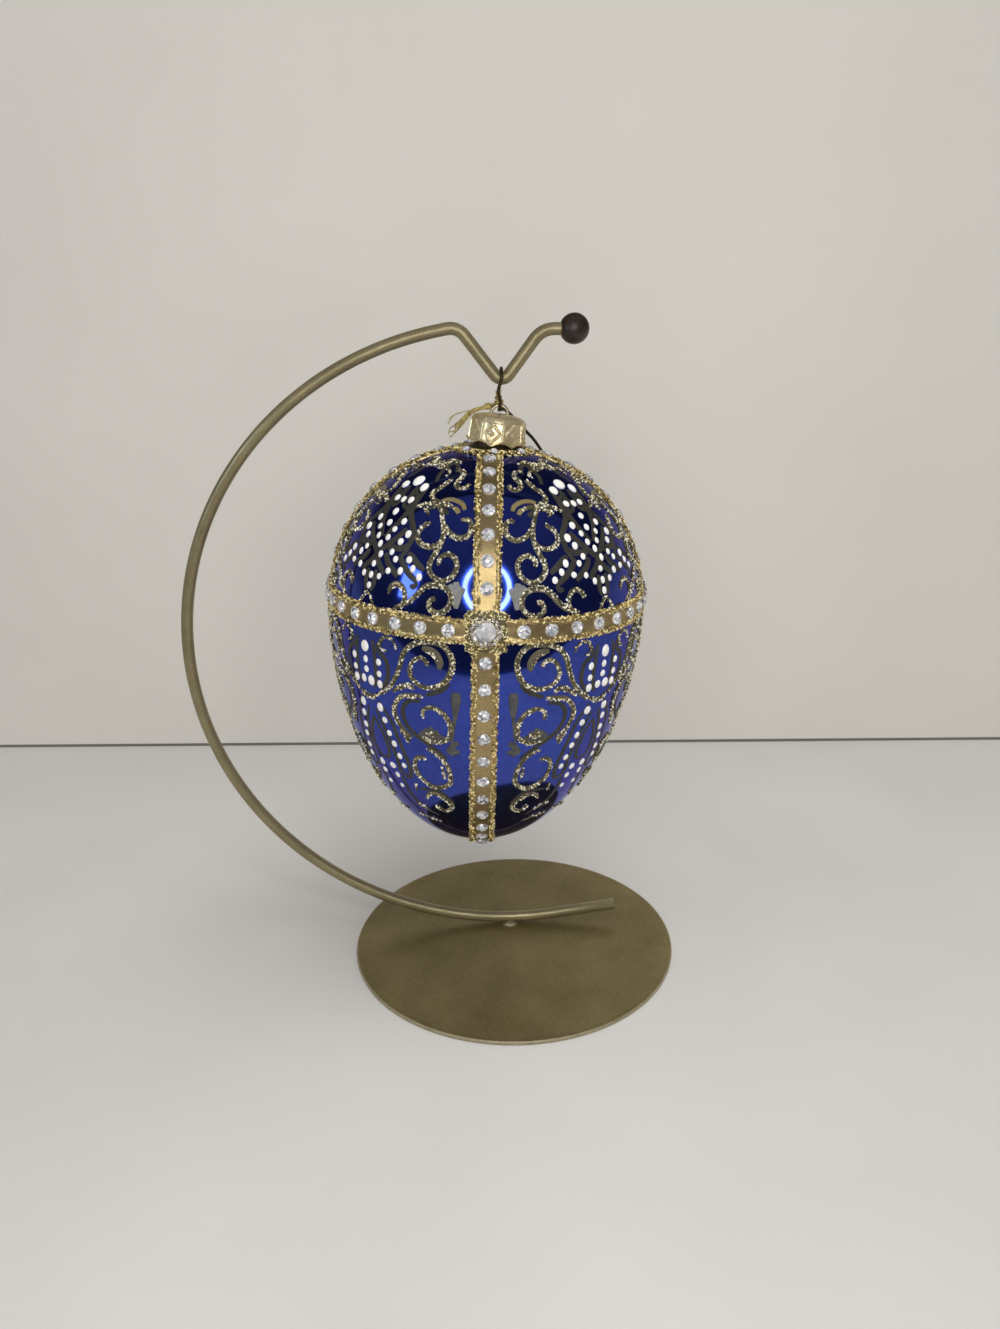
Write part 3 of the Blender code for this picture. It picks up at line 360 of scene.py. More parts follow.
class Paintbox:
    """Every finish of the ornament and its stand, made once."""

    FINISHES = (
        Finish("antique_gold_paint", (0.116, 0.090, 0.031), (0.250, 0.199, 0.084), 0.35 * MM,
               16 * MM, (0.28, 0.38), metallic=0.55, bump=0.04 * MM),
        Finish("arm_gold_paint", (0.185, 0.155, 0.080), (0.36, 0.305, 0.170), 0.3 * MM, 9 * MM,
               (0.32, 0.42), metallic=0.6, bump=0.02 * MM),
        # rim_highlight_and_wear: lighter paint on the disc's outer edge, a painted highlight along
        # the rolled rim and partly wear
        Finish("rim_highlight_and_wear", (0.24, 0.205, 0.12), (0.46, 0.40, 0.26), 0.3 * MM, 4 * MM,
               (0.34, 0.46), metallic=0.5, bump=0.03 * MM),
        Finish("brown_ball", (0.012, 0.007, 0.005), (0.036, 0.019, 0.012), 0.8 * MM, 3 * MM,
               (0.30, 0.42), bump=0.04 * MM),
        Finish("dark_bronze", (0.035, 0.024, 0.012), (0.10, 0.07, 0.035), 0.3 * MM, 2 * MM,
               (0.3, 0.5), metallic=0.9),
        Finish("plain_spring_steel", (0.30, 0.26, 0.17), (0.52, 0.46, 0.32), 0.2 * MM, 2 * MM,
               (0.25, 0.4), metallic=1.0),
        FoilFinish("pressed_gold", (0.68, 0.54, 0.28), (1.0, 0.87, 0.56), 0.4 * MM, 3 * MM,
                   (0.24, 0.34), metallic=0.8, crease=5.0 * MM, crease_depth=0.01 * MM),
        ThreadFinish("gold_thread", (0.16, 0.11, 0.02), (0.84, 0.68, 0.26), 0.3 * MM, 0.9 * MM,
                     (0.28, 0.45), metallic=0.6, sheen=0.1),
        FoilFinish("matte_gold_leaf", (0.31, 0.225, 0.098), (0.52, 0.40, 0.20), 0.35 * MM, 7 * MM,
                   (0.28, 0.40), metallic=0.9, crease=4.0 * MM, crease_depth=0.03 * MM),
        FoilFinish("crumpled_foil", (0.52, 0.42, 0.22), (0.95, 0.86, 0.62), 0.3 * MM, 1.5 * MM,
                   (0.12, 0.25), metallic=1.0, crease=0.7 * MM, crease_depth=0.25 * MM),
        Finish("olive_shadow_paint", (0.014, 0.014, 0.013), (0.045, 0.042, 0.031), 0.3 * MM,
               3 * MM, (0.5, 0.7), bump=0.03 * MM),
        Finish("olive_gold_paint", (0.085, 0.076, 0.050), (0.175, 0.155, 0.10), 0.25 * MM, 2 * MM,
               (0.4, 0.6), metallic=0.4, bump=0.04 * MM),
        Finish("leaf_gold_paint", (0.20, 0.165, 0.070), (0.33, 0.27, 0.125), 0.25 * MM, 1.5 * MM,
               (0.4, 0.6), metallic=0.4, bump=0.05 * MM),
        Finish("grey_print", (0.10, 0.105, 0.11), (0.25, 0.25, 0.24), 0.3 * MM, 1.5 * MM,
               (0.5, 0.7), bump=0.05 * MM),
        Finish("speckled_print", (0.010, 0.013, 0.040), (0.125, 0.12, 0.088), 0.25 * MM,
               2 * MM, (0.5, 0.7), bump=0.05 * MM),
        Finish("white_enamel", (0.82, 0.81, 0.79), (0.93, 0.92, 0.90), 0.5 * MM, 2 * MM,
               (0.3, 0.45), bump=0.02 * MM, coat=0.2),
        GlitterFinish("gold_glitter", (0.045, 0.030, 0.008), (0.58, 0.41, 0.11),
                      (1.0, 0.88, 0.48), 0.2),
        GlitterFinish("pale_glitter", (0.070, 0.060, 0.028), (0.68, 0.58, 0.33),
                      (1.0, 0.98, 0.83), 0.15),
        GlitterFinish("rosette_glitter", (0.10, 0.075, 0.025), (0.84, 0.67, 0.27),
                      (1.0, 0.96, 0.66), 0.2),
        GlitterFinish("silver_glitter", (0.10, 0.09, 0.09), (0.52, 0.48, 0.50),
                      (1.0, 0.97, 0.98), 0.6),
    )

    def __init__(self) -> None:
        """Make the shared groups, then every finish."""
        groups = {"mottle": mottle_group(), "glitter": glitter_group(), "facets": facet_group()}
        self.materials = {finish.name: finish.make(groups) for finish in self.FINISHES}
        self.materials["blue_lacquer"] = self.lacquer(groups)
        for name, scale, spread, dark in (("foiled_crystal", 1700.0, 1.2, (0.26, 0.27, 0.34)),
                                          ("clear_crystal", 900.0, 0.7, (0.46, 0.46, 0.49))):
            self.materials[name] = self.crystal(groups, name, scale, spread, dark)

    def lacquer(self, groups: dict[str, bpy.types.NodeTree]) -> bpy.types.Material:
        """Mirrored glass under clear cobalt lacquer."""
        material, sheet, shader = new_material("blue_lacquer")
        place = sheet.add("TexCoord").outputs["Object"]
        mottle = sheet.group(groups["mottle"], {
            "Vector": place, "Grain Scale": 900.0, "Patch Scale": 45.0,
            "Dark": (0.014, 0.032, 0.29), "Light": (0.026, 0.062, 0.44),
            "Low Gloss": 0.07, "High Gloss": 0.12}).outputs
        sheet.fill(shader, {
            "Base Color": mottle["Color"], "Roughness": mottle["Roughness"], "Metallic": 1.0,
            "Specular Tint": (0.16, 0.24, 0.75), "Coat Weight": 0.7, "Coat Roughness": 0.03,
            "Coat IOR": 1.5, "Normal": sheet.bump(sheet.noise(place, 60.0), 0.08 * MM)})
        return material

    def crystal(self, groups: dict[str, bpy.types.NodeTree], title: str, scale: float,
                spread: float, dark: Color) -> bpy.types.Material:
        """Cut stone with a foil back: bright and dark facets.

        Args:
            groups: The shared node groups by name.
            title: The material's name.
            scale: Facets in a metre.
            spread: How far the facets lean.
            dark: Colour of the darkest facets.

        Returns:
            The new material.
        """
        material, sheet, shader = new_material(title)
        facets = sheet.group(groups["facets"], {
            "Vector": sheet.add("TexCoord").outputs["Object"], "Facet Scale": scale,
            "Spread": spread, "Dark": dark, "Light": (1.0, 1.0, 1.0)}).outputs
        sheet.fill(shader, {"Base Color": facets["Color"], "Normal": facets["Normal"],
                            "Metallic": 0.3, "Roughness": 0.12, "Coat Weight": 1.0,
                            "Coat Roughness": 0.02})
        return material

    def dress(self, piece: bpy.types.Object, *names: str) -> bpy.types.Object:
        """Give a piece its materials, in the order of its slots, and return it."""
        piece.data.materials.clear()
        for name in names:
            piece.data.materials.append(self.materials[name])
        return piece


# Modelling tools

def clear_selection() -> None:
    """Leave edit mode with nothing selected."""
    if bpy.context.mode != "OBJECT":
        bpy.ops.object.mode_set(mode="OBJECT")
    bpy.ops.object.select_all(action="DESELECT")


def pick(piece: bpy.types.Object) -> None:
    """Make a piece the only selected one."""
    clear_selection()
    piece.select_set(True)
    bpy.context.view_layer.objects.active = piece


def named(name: str) -> bpy.types.Object:
    """Name the object that an operator has just added."""
    piece = bpy.context.object
    piece.name = name
    piece.data.name = name
    return piece


def add_object(name: str, data: bpy.types.ID) -> bpy.types.Object:
    """New object in the scene for a mesh, light or camera."""
    made = bpy.data.objects.new(name, data)
    bpy.context.scene.collection.objects.link(made)
    return made


def open_edit(piece: bpy.types.Object, mode: str = "FACE") -> None:
    """Open a piece in edit mode with nothing selected."""
    pick(piece)
    bpy.ops.object.mode_set(mode="EDIT")
    bpy.ops.mesh.select_mode(type=mode)
    bpy.ops.mesh.select_all(action="DESELECT")


def select_faces(piece: bpy.types.Object, wanted: Callable[[Vector, Vector], bool]) -> None:
    """Select the faces of the open piece whose middle and normal pass the test."""
    shape = bmesh.from_edit_mesh(piece.data)
    for face in shape.faces:
        face.select_set(wanted(face.calc_center_median(), face.normal))
    shape.select_flush_mode()
    bmesh.update_edit_mesh(piece.data)


def close_edit() -> None:
    """Back to object mode."""
    bpy.ops.object.mode_set(mode="OBJECT")


def settle(piece: bpy.types.Object) -> None:
    """Move a piece's place into its mesh, so that its object is at the origin."""
    pick(piece)
    bpy.ops.object.transform_apply(location=True, rotation=True, scale=True)


def primitive(operator: Callable, name: str, **settings: object) -> bpy.types.Object:
    """Add a primitive by its operator, named and settled."""
    clear_selection()
    operator(**settings)
    piece = named(name)
    settle(piece)
    return piece


def keep_side(height: float, above: bool) -> None:
    """Cut the open piece flat at a height, keep one side of it and close the cut."""
    bpy.ops.mesh.select_all(action="SELECT")
    bpy.ops.mesh.bisect(plane_co=(0.0, 0.0, height), plane_no=(0, 0, 1), clear_inner=above,
                        clear_outer=not above, use_fill=True)


def close_holes(piece: bpy.types.Object) -> None:
    """Merge doubles and close the open edges."""
    open_edit(piece, "VERT")
    bpy.ops.mesh.select_all(action="SELECT")
    bpy.ops.mesh.remove_doubles(threshold=1e-7)
    bpy.ops.mesh.select_all(action="DESELECT")
    bpy.ops.mesh.select_non_manifold()
    bpy.ops.mesh.edge_face_add()
    close_edit()


def unit(rows: np.ndarray) -> np.ndarray:
    """Rows of vectors at length one."""
    return rows / np.linalg.norm(rows, axis=1)[:, None]


def polar(points: np.ndarray) -> tuple[np.ndarray, np.ndarray]:
    """Angle about Z and distance from it, of each point."""
    return np.arctan2(points[:, 1], points[:, 0]), np.hypot(points[:, 0], points[:, 1])


def on_circle(radius: np.ndarray, angle: np.ndarray, height: np.ndarray) -> np.ndarray:
    """Points at a radius, angle and height."""
    return np.stack([radius * np.cos(angle), radius * np.sin(angle), height], -1)


def tidy_mesh(piece: bpy.types.Object, angle: float = 40.0, weld: float = 1e-6) -> None:
    """Merge doubles, turn the faces outwards and smooth all but the sharp edges."""
    open_edit(piece, "VERT")
    bpy.ops.mesh.select_all(action="SELECT")
    bpy.ops.mesh.remove_doubles(threshold=weld)
    bpy.ops.mesh.normals_make_consistent(inside=False)
    close_edit()
    bpy.ops.object.shade_smooth_by_angle(angle=math.radians(angle))


def read_points(piece: bpy.types.Object) -> np.ndarray:
    """All vertices of a piece as an array."""
    flat = np.empty(len(piece.data.vertices) * 3)
    piece.data.vertices.foreach_get("co", flat)
    return flat.reshape(-1, 3)


def face_centres(piece: bpy.types.Object) -> np.ndarray:
    """Middle of every face."""
    flat = np.empty(len(piece.data.polygons) * 3)
    piece.data.polygons.foreach_get("center", flat)
    return flat.reshape(-1, 3)


def write_points(piece: bpy.types.Object, points: np.ndarray) -> None:
    """Move all vertices of a piece."""
    piece.data.vertices.foreach_set("co", points.ravel())
    piece.data.update()


def apply_modifier(piece: bpy.types.Object, kind: str, **settings: object) -> None:
    """Add a modifier and apply it."""
    pick(piece)
    modifier = piece.modifiers.new(kind.lower(), kind)
    for name, value in settings.items():
        setattr(modifier, name, value)
    bpy.ops.object.modifier_apply(modifier=modifier.name)


def join(pieces: Sequence[bpy.types.Object], name: str) -> bpy.types.Object:
    """Join pieces into one object, with a material slot for each that they have."""
    pick(pieces[0])
    for piece in pieces:
        piece.select_set(True)
    bpy.ops.object.join()
    return named(name)


def join_copies(name: str, pattern: bpy.types.Object,
                frames: Sequence[Matrix]) -> bpy.types.Object:
    """Copies of a pattern, one in each frame, joined to one piece."""
    copies = []
    for frame in frames:
        copy = add_object(name, pattern.data.copy())
        copy.data.transform(frame)
        copies.append(copy)
    return join(copies, name)


@dataclass
class Wire:
    """One run of wire: its points in metres and its radius at each."""

    points: np.ndarray
    radius: np.ndarray | float

    def radii(self) -> np.ndarray:
        """The radius at each point."""
        return np.broadcast_to(self.radius, len(self.points))


def draw_wires(name: str, wires: Sequence[Wire], resolution: int) -> bpy.types.Object:
    """Draw round wires and make them one mesh.

    Args:
        name: Name of the new piece.
        wires: The runs to draw.
        resolution: Bevel resolution of their section.

    Returns:
        The finished mesh object.
    """
    clear_selection()
    bpy.ops.curve.primitive_nurbs_path_add()
    piece = named(name)
    curve = piece.data
    curve.splines.clear()
    curve.dimensions = "3D"
    curve.bevel_depth = 1.0 * MM
    curve.bevel_resolution = resolution
    curve.use_fill_caps = True
    for wire in wires:
        spline = curve.splines.new("POLY")
        spline.points.add(len(wire.points) - 1)
        spline.points.foreach_set("co", np.c_[wire.points, np.ones(len(wire.points))].ravel())
        spline.points.foreach_set("radius", (wire.radii() / MM).astype(float).ravel())
    pick(piece)
    bpy.ops.object.convert(target="MESH")
    piece = named(name)
    tidy_mesh(piece, 50.0, 1e-7)
    return piece


def smooth_path(points: np.ndarray, steps: int) -> np.ndarray:
    """Points on the smooth curve that runs through the given ones."""
    knots = np.asarray(points, float)
    ends = np.vstack([2 * knots[0] - knots[1], knots, 2 * knots[-1] - knots[-2]])
    rows = []
    for before, start, stop, after in zip(ends, ends[1:], ends[2:], ends[3:]):
        t = (np.arange(steps) / steps)[:, None]
        rows.append(0.5 * (2 * start + (stop - before) * t
                           + (2 * before - 5 * start + 4 * stop - after) * t ** 2
                           + (3 * start - before - 3 * stop + after) * t ** 3))
    return np.vstack(rows + [knots[-1:]])


def even_path(points: np.ndarray, step: float) -> np.ndarray:
    """The same path with points about one step apart."""
    lengths = np.linalg.norm(np.diff(points, axis=0), axis=1)
    gone = np.concatenate([[0.0], np.cumsum(lengths)])
    count = max(3, int(round(gone[-1] / step)))
    marks = np.linspace(0.0, gone[-1], count + 1)
    return np.stack([np.interp(marks, gone, points[:, k]) for k in range(3)], -1)


def make_grid(name: str, columns: int,
              rows: int) -> tuple[bpy.types.Object, np.ndarray, np.ndarray]:
    """A flat grid, with the column and the row of each of its points."""
    piece = primitive(bpy.ops.mesh.primitive_grid_add, name, x_subdivisions=columns,
                      y_subdivisions=rows, size=2.0)
    grid = (read_points(piece) + 1) / 2
    return (piece, np.rint(grid[:, 0] * columns).astype(int),
            np.rint(grid[:, 1] * rows).astype(int))


def turned_grid(name: str, profile: Sequence[tuple[float, float]],
                segments: int) -> bpy.types.Object:
    """Turn an outline of (radius, height) about Z, from a grid that is wrapped round.

    Args:
        name: Name of the new piece.
        profile: The outline; radius 0 closes an end, and a first point given again at the
            end closes it to a ring.
        segments: Faces round the axis.

    Returns:
        The mesh object; its seam and poles are still to be merged.
    """
    piece, column, row = make_grid(name, segments, len(profile) - 1)
    radius, height = np.asarray(profile)[row].T
    write_points(piece, on_circle(radius, 2 * math.pi * (column % segments) / segments, height))
    return piece


def move_into(piece: bpy.types.Object, frame: Matrix) -> None:
    """Carry a mesh that was modelled at the origin into a frame."""
    piece.data.transform(frame)
    piece.data.update()


def frame_on(spot: np.ndarray, normal: np.ndarray, lift: float) -> Matrix:
    """Frame at a height over a spot, its Z along the normal."""
    turn = Vector(normal).to_track_quat("Z", "Y").to_matrix().to_4x4()
    return Matrix.Translation(Vector(spot + normal * lift)) @ turn


def make_grain() -> bpy.types.Object:
    """One glitter flake, modelled once and copied many times."""
    grain = primitive(bpy.ops.mesh.primitive_uv_sphere_add, "grain_pattern", segments=4,
                      ring_count=3, radius=1.0, scale=(0.34 * MM, 0.34 * MM, 0.18 * MM))
    apply_modifier(grain, "TRIANGULATE")
    return grain


def sprinkle(name: str, base: bpy.types.Object, grain: bpy.types.Object, per_area: float,
             seed: int, wanted: np.ndarray | None = None, lift: float = 0.0) -> bpy.types.Object:
    """Scatter copies of one small grain over a piece's faces.

    Args:
        name: Name of the new piece.
        base: The piece whose faces carry the grains.
        grain: The grain, modelled once at the origin.
        per_area: Grains in a square metre.
        seed: Seed of the random draws.
        wanted: True for each face that takes grains; all do without it.
        lift: How far a grain's middle stands off the face.

    Returns:
        One mesh of all the grains.
    """
    base.data.calc_loop_triangles()
    corners = np.empty(len(base.data.loop_triangles) * 3, int)
    base.data.loop_triangles.foreach_get("vertices", corners)
    triangles = read_points(base)[corners.reshape(-1, 3)]
    if wanted is not None:
        owners = np.empty(len(base.data.loop_triangles), int)
        base.data.loop_triangles.foreach_get("polygon_index", owners)
        triangles = triangles[wanted[owners]]
    sides = np.cross(triangles[:, 1] - triangles[:, 0], triangles[:, 2] - triangles[:, 0])
    area = np.linalg.norm(sides, axis=1) / 2
    draws = np.random.default_rng(seed)
    count = int(area.sum() * per_area)
    chosen = draws.choice(len(triangles), count, p=area / area.sum())
    mix = draws.dirichlet((1, 1, 1), count)
    spots = np.einsum("nk,nkc->nc", mix, triangles[chosen])
    spots += sides[chosen] / (2 * area[chosen, None] + 1e-18) * lift
    w, x, y, z = unit(draws.normal(size=(count, 4))).T
    turns = np.stack([1 - 2 * (y * y + z * z), 2 * (x * y - z * w), 2 * (x * z + y * w),
                      2 * (x * y + z * w), 1 - 2 * (x * x + z * z), 2 * (y * z - x * w),
                      2 * (x * z - y * w), 2 * (y * z + x * w), 1 - 2 * (x * x + y * y)],
                     -1).reshape(-1, 3, 3)
    size = draws.uniform(0.55, 1.2, count)[:, None, None]
    points = read_points(grain)
    cloud = np.einsum("nij,kj->nki", turns, points) * size + spots[:, None, :]
    faces = np.array([list(face.vertices) for face in grain.data.polygons])
    faces = faces[None] + (np.arange(count) * len(points))[:, None, None]
    mesh = bpy.data.meshes.new(name)
    mesh.from_pydata(cloud.reshape(-1, 3).tolist(), [],
                     faces.reshape(-1, faces.shape[-1]).tolist())
    # Each flake's tint is its painted share of light, from painted shade to painted glint.
    tint = mesh.attributes.new("tint", "FLOAT", "POINT")
    tint.data.foreach_set("value", np.repeat(draws.uniform(size=count), len(points)))
    return add_object(name, mesh)


def place_piece(piece: bpy.types.Object, body: Body, slot: Slot, *nodes: str) -> None:
    """Let a piece ride on its body and stand for its CAD nodes.

    Args:
        piece: The finished piece.
        body: The body that carries it.
        slot: The record's slot of its finish; not used.
        nodes: The CAD nodes that it stands for.
    """
    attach(piece, body.value)
    if nodes:
        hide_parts(*nodes)
    LOG.info("%s: %d faces on %s", piece.name, len(piece.data.polygons), body.value)


# Where the ornament hangs

HOOK_SPOT = Vector((-1.257, 8.0, 156.066)) * MM
SEAT_SPOT = Vector((-1.957, 8.0, 148.466)) * MM
EGG_SPOT = Vector((-6.208, 8.0, 96.672)) * MM
EGG_TILT = math.radians(3.4)
CAP_TILT = math.radians(8.4)
EGG_FRAME = Matrix.Translation(EGG_SPOT) @ Matrix.Rotation(EGG_TILT, 4, "Y")
CAP_FRAME = (Matrix.Translation(SEAT_SPOT + Vector((0.17 * MM, 0.0, 0.0)))
             @ Matrix.Rotation(CAP_TILT, 4, "Y"))


def mount(piece: bpy.types.Object, slot: Slot, *nodes: str) -> None:
    """Carry a piece that was modelled in the egg's frame to its place on the egg."""
    move_into(piece, EGG_FRAME)
    place_piece(piece, Body.EGG, slot, *nodes)


@dataclass
class EggForm:
    """The egg's surface, in its own frame: blunt end up, its middle at the widest plane."""

    half_width: float = 40.7 * MM
    top: float = 42.9 * MM
    bottom: float = 64.4 * MM
    top_power: float = 2.146
    flank_power: float = 1.8
    end_power: float = 2.08
    band_height: float = 5.8 * MM
    pattern_turn: Matrix = (Matrix.Rotation(math.radians(-1.2), 3, "Y")
                            @ Matrix.Rotation(math.radians(-0.6), 3, "X")
                            @ Matrix.Rotation(math.radians(-1.2), 3, "Z"))

    def radius(self, z: np.ndarray) -> np.ndarray:
        """Radius of the glass at each height."""
        z = np.asarray(z, float)
        upper = np.clip(1 - (np.abs(z) / self.top) ** self.top_power, 0, None)
        lower = np.clip(1 - (np.abs(z) / self.bottom) ** self.flank_power, 0, None)
        return self.half_width * np.where(z > 0, upper ** (1 / self.top_power),
                                          lower ** (1 / self.end_power))

    def steepness(self, points: np.ndarray) -> tuple[np.ndarray, np.ndarray]:
        """How far outside the glass each point is, as a level and its gradient."""
        z = points[:, 2]
        across = np.maximum(polar(points)[1], 1e-7)
        length = np.where(z > 0, self.top, self.bottom)
        flank = np.where(z > 0, self.top_power, self.flank_power)
        end = np.where(z > 0, self.top_power, self.end_power)
        share = np.maximum(np.abs(z) / length, 1e-7)
        level = (across / self.half_width) ** end + share ** flank - 1
        out = end * (across / self.half_width) ** (end - 1) / self.half_width
        rise = np.sign(z) * flank * share ** (flank - 1) / length
        slope = np.stack([out * points[:, 0] / across, out * points[:, 1] / across, rise], -1)
        return level, slope

    def foot(self, points: np.ndarray) -> tuple[np.ndarray, np.ndarray]:
        """Nearest points of the glass and the outward directions there."""
        found = np.array(points, float)
        for _ in range(6):
            level, slope = self.steepness(found)
            found -= slope * (level / (slope ** 2).sum(1))[:, None]
        return found, unit(self.steepness(found)[1])

    def shoulder(self, radius: float) -> float:
        """Height of the glass at a radius near the neck."""
        power = self.top_power
        return self.top * (1 - (radius / self.half_width) ** power) ** (1 / power)

    def on_glass(self, angles: np.ndarray) -> np.ndarray:
        """Points of the glass at azimuths and elevations, in degrees, of the trim pattern."""
        azimuth, elevation = np.radians(np.asarray(angles, float)).T
        rays = on_circle(np.cos(elevation), azimuth, np.sin(elevation))
        rays = rays @ np.array(self.pattern_turn).T
        middle = np.array((0.0, 0.0, self.band_height))
        low = np.zeros(len(rays))
        high = np.full(len(rays), self.top + self.bottom)
        for _ in range(40):
            reach = (low + high) / 2
            points = middle + rays * reach[:, None]
            inside = polar(points)[1] < self.radius(points[:, 2])
            inside &= (points[:, 2] < self.top) & (points[:, 2] > -self.bottom)
            low = np.where(inside, reach, low)
            high = np.where(inside, high, reach)
        return middle + rays * low[:, None]

    def lay(self, piece: bpy.types.Object, points: np.ndarray, heights: np.ndarray) -> None:
        """Write a mesh's points at their heights over the glass."""
        feet, out = self.foot(points)
        write_points(piece, feet + out * heights[:, None])

    def press(self, piece: bpy.types.Object, flatness: float, lift: float) -> None:
        """Press a mesh in the egg's frame onto the glass.

        Args:
            piece: The mesh, modelled on or near the glass.
            flatness: What is left of each point's distance from the glass.
            lift: Height that is added over the glass.
        """
        points = read_points(piece)
        feet, out = self.foot(points)
        off = ((points - feet) * out).sum(1)
        write_points(piece, feet + out * (off * flatness + lift)[:, None])


# The stand

@dataclass
class DisplayStand:
    """Round base, bent wire arm, weld beads and the ball on the arm's tip."""

    base_radius: float = 45.0 * MM
    base_thickness: float = 1.0 * MM
    wire: float = 3.1 * MM
    setback: float = 8.0 * MM
    centre_x: float = -0.8 * MM
    arc_radius: float = 84.0 * MM
    oval: float = 0.0123
    oval_turn: float = math.radians(-5.7)
    arc_end: float = math.radians(100.5)
    knee_lead: float = 4.2 * MM
    leg_slope: float = math.radians(52.4)
    left_leg: float = 17.3 * MM
    right_leg: float = 16.3 * MM
    tip_run: float = 7.9 * MM
    foot_arc: float = math.radians(9.0)
    foot_slope: float = math.radians(7.8)
    foot_run: float = 17.7 * MM
    ball: float = 7.4 * MM
    foot_gap: float = 0.3 * MM
    knee_bend: float = 4.5 * MM
    valley_bend: float = 2.3 * MM
    shoulder_bend: float = 6.0 * MM

    def arc_point(self, angle: float) -> Vector:
        """Point of the slightly oval arc."""
        reach = self.arc_radius * (1 + self.oval * math.cos(2 * (angle - self.oval_turn)))
        return self.centre + reach * Vector((math.cos(angle), 0.0, math.sin(angle)))

    def bend(self, before: Vector, corner: Vector, after: Vector, radius: float,
             steps: int) -> list[Vector]:
        """Points of the bend that rounds one corner of the wire."""
        into = (before - corner).normalized()
        out = (after - corner).normalized()
        half = into.angle(out) / 2
        middle = corner + (into + out).normalized() * radius / math.sin(half)
        start = corner + into * radius / math.tan(half) - middle
        axis = start.cross(corner - middle).normalized()
        sweep = math.pi - 2 * half
        return [middle + Matrix.Rotation(sweep * i / steps, 3, axis) @ start
                for i in range(steps + 1)]

    def arm_path(self) -> list[Vector]:
        """Middle line of the arm from its free end to the ball."""
        rest = self.base_thickness + self.foot_gap + self.wire / 2
        self.centre = Vector((self.centre_x, self.setback, 0.0))
        low = self.arc_point(-math.pi / 2)
        self.centre.z = rest - low.z
        start = -math.pi / 2 + self.foot_arc
        stop = self.arc_end - 2 * math.pi
        arc = [self.arc_point(start + (stop - start) * i / 160) for i in range(161)]
        foot = Vector((math.cos(self.foot_slope), 0.0, math.sin(self.foot_slope)))
        near = self.arc_point(self.arc_end + 0.01)
        end = self.arc_point(self.arc_end)
        knee = end + (end - near).normalized() * self.knee_lead
        down = Vector((math.cos(self.leg_slope), 0.0, -math.sin(self.leg_slope)))
        rise = Vector((down.x, 0.0, -down.z))
        valley = knee + down * self.left_leg
        shoulder = valley + rise * self.right_leg
        self.ball_spot = shoulder + Vector((self.tip_run, 0.0, 0.0))
        path = [arc[0] + foot * self.foot_run] + arc
        path += self.bend(end, knee, valley, self.knee_bend, 12)
        path += self.bend(knee, valley, shoulder, self.valley_bend, 16)
        path += self.bend(valley, shoulder, self.ball_spot, self.shoulder_bend, 12)
        return path + [self.ball_spot + Vector((0.9 * MM, 0.0, 0.0))]

    def make_base(self) -> bpy.types.Object:
        """Pressed sheet disc with a rolled rim."""
        piece = primitive(bpy.ops.mesh.primitive_cylinder_add, "base_plate", vertices=192,
                          radius=self.base_radius, depth=self.base_thickness,
                          location=(0.0, 0.0, self.base_thickness / 2))
        lip = 0.9 * MM
        open_edit(piece)
        select_faces(piece, lambda middle, normal: abs(normal.z) > 0.9)
        bpy.ops.mesh.inset(thickness=lip, depth=0.0)
        bpy.ops.mesh.inset(thickness=1.2 * MM, depth=0.0)
        close_edit()
        points = read_points(piece)
        rim = np.abs(polar(points)[1] - (self.base_radius - lip)) < 0.1 * MM
        points[rim & (points[:, 2] > 0.5 * MM), 2] += 0.12 * MM
        write_points(piece, points)
        apply_modifier(piece, "BEVEL", width=0.3 * MM, segments=4, limit_method="ANGLE")
        tidy_mesh(piece, 50.0)
        return piece

    def make_ball(self) -> bpy.types.Object:
        """Ball with a drilled seat for the wire."""
        piece = primitive(bpy.ops.mesh.primitive_uv_sphere_add, "tip_ball", segments=64,
                          ring_count=40, radius=self.ball / 2, location=self.ball_spot,
                          rotation=(0.0, math.pi / 2, 0.0))
        open_edit(piece)
        mouth = self.ball_spot.x - self.ball / 2 * 0.86
        select_faces(piece, lambda middle, normal: middle.x < mouth)
        bpy.ops.mesh.inset(thickness=0.15 * MM, depth=-0.1 * MM)
        bpy.ops.mesh.inset(thickness=0.1 * MM, depth=-0.5 * MM)
        close_edit()
        tidy_mesh(piece, 30.0)
        return piece

    def make_weld(self, name: str, side: float, seed: float) -> bpy.types.Object:
        """Small uneven bead of weld beside the wire."""
        spot = (self.centre_x, self.setback + side * self.wire * 0.52, self.base_thickness)
        piece = primitive(bpy.ops.mesh.primitive_uv_sphere_add, name, segments=40,
                          ring_count=24, radius=1.0, location=spot,
                          scale=(2.3 * MM, 1.35 * MM, 1.25 * MM))
        open_edit(piece, "VERT")
        keep_side(self.base_thickness, above=True)
        close_edit()
        points = read_points(piece)
        wave = np.sin(points[:, 0] * 2600 + seed) * np.cos(points[:, 1] * 2100 + 2 * seed)
        points[:, 2] += np.where(points[:, 2] > 1.1 * MM, wave * 0.12 * MM, 0.0)
        write_points(piece, points)
        tidy_mesh(piece, 50.0)
        return piece

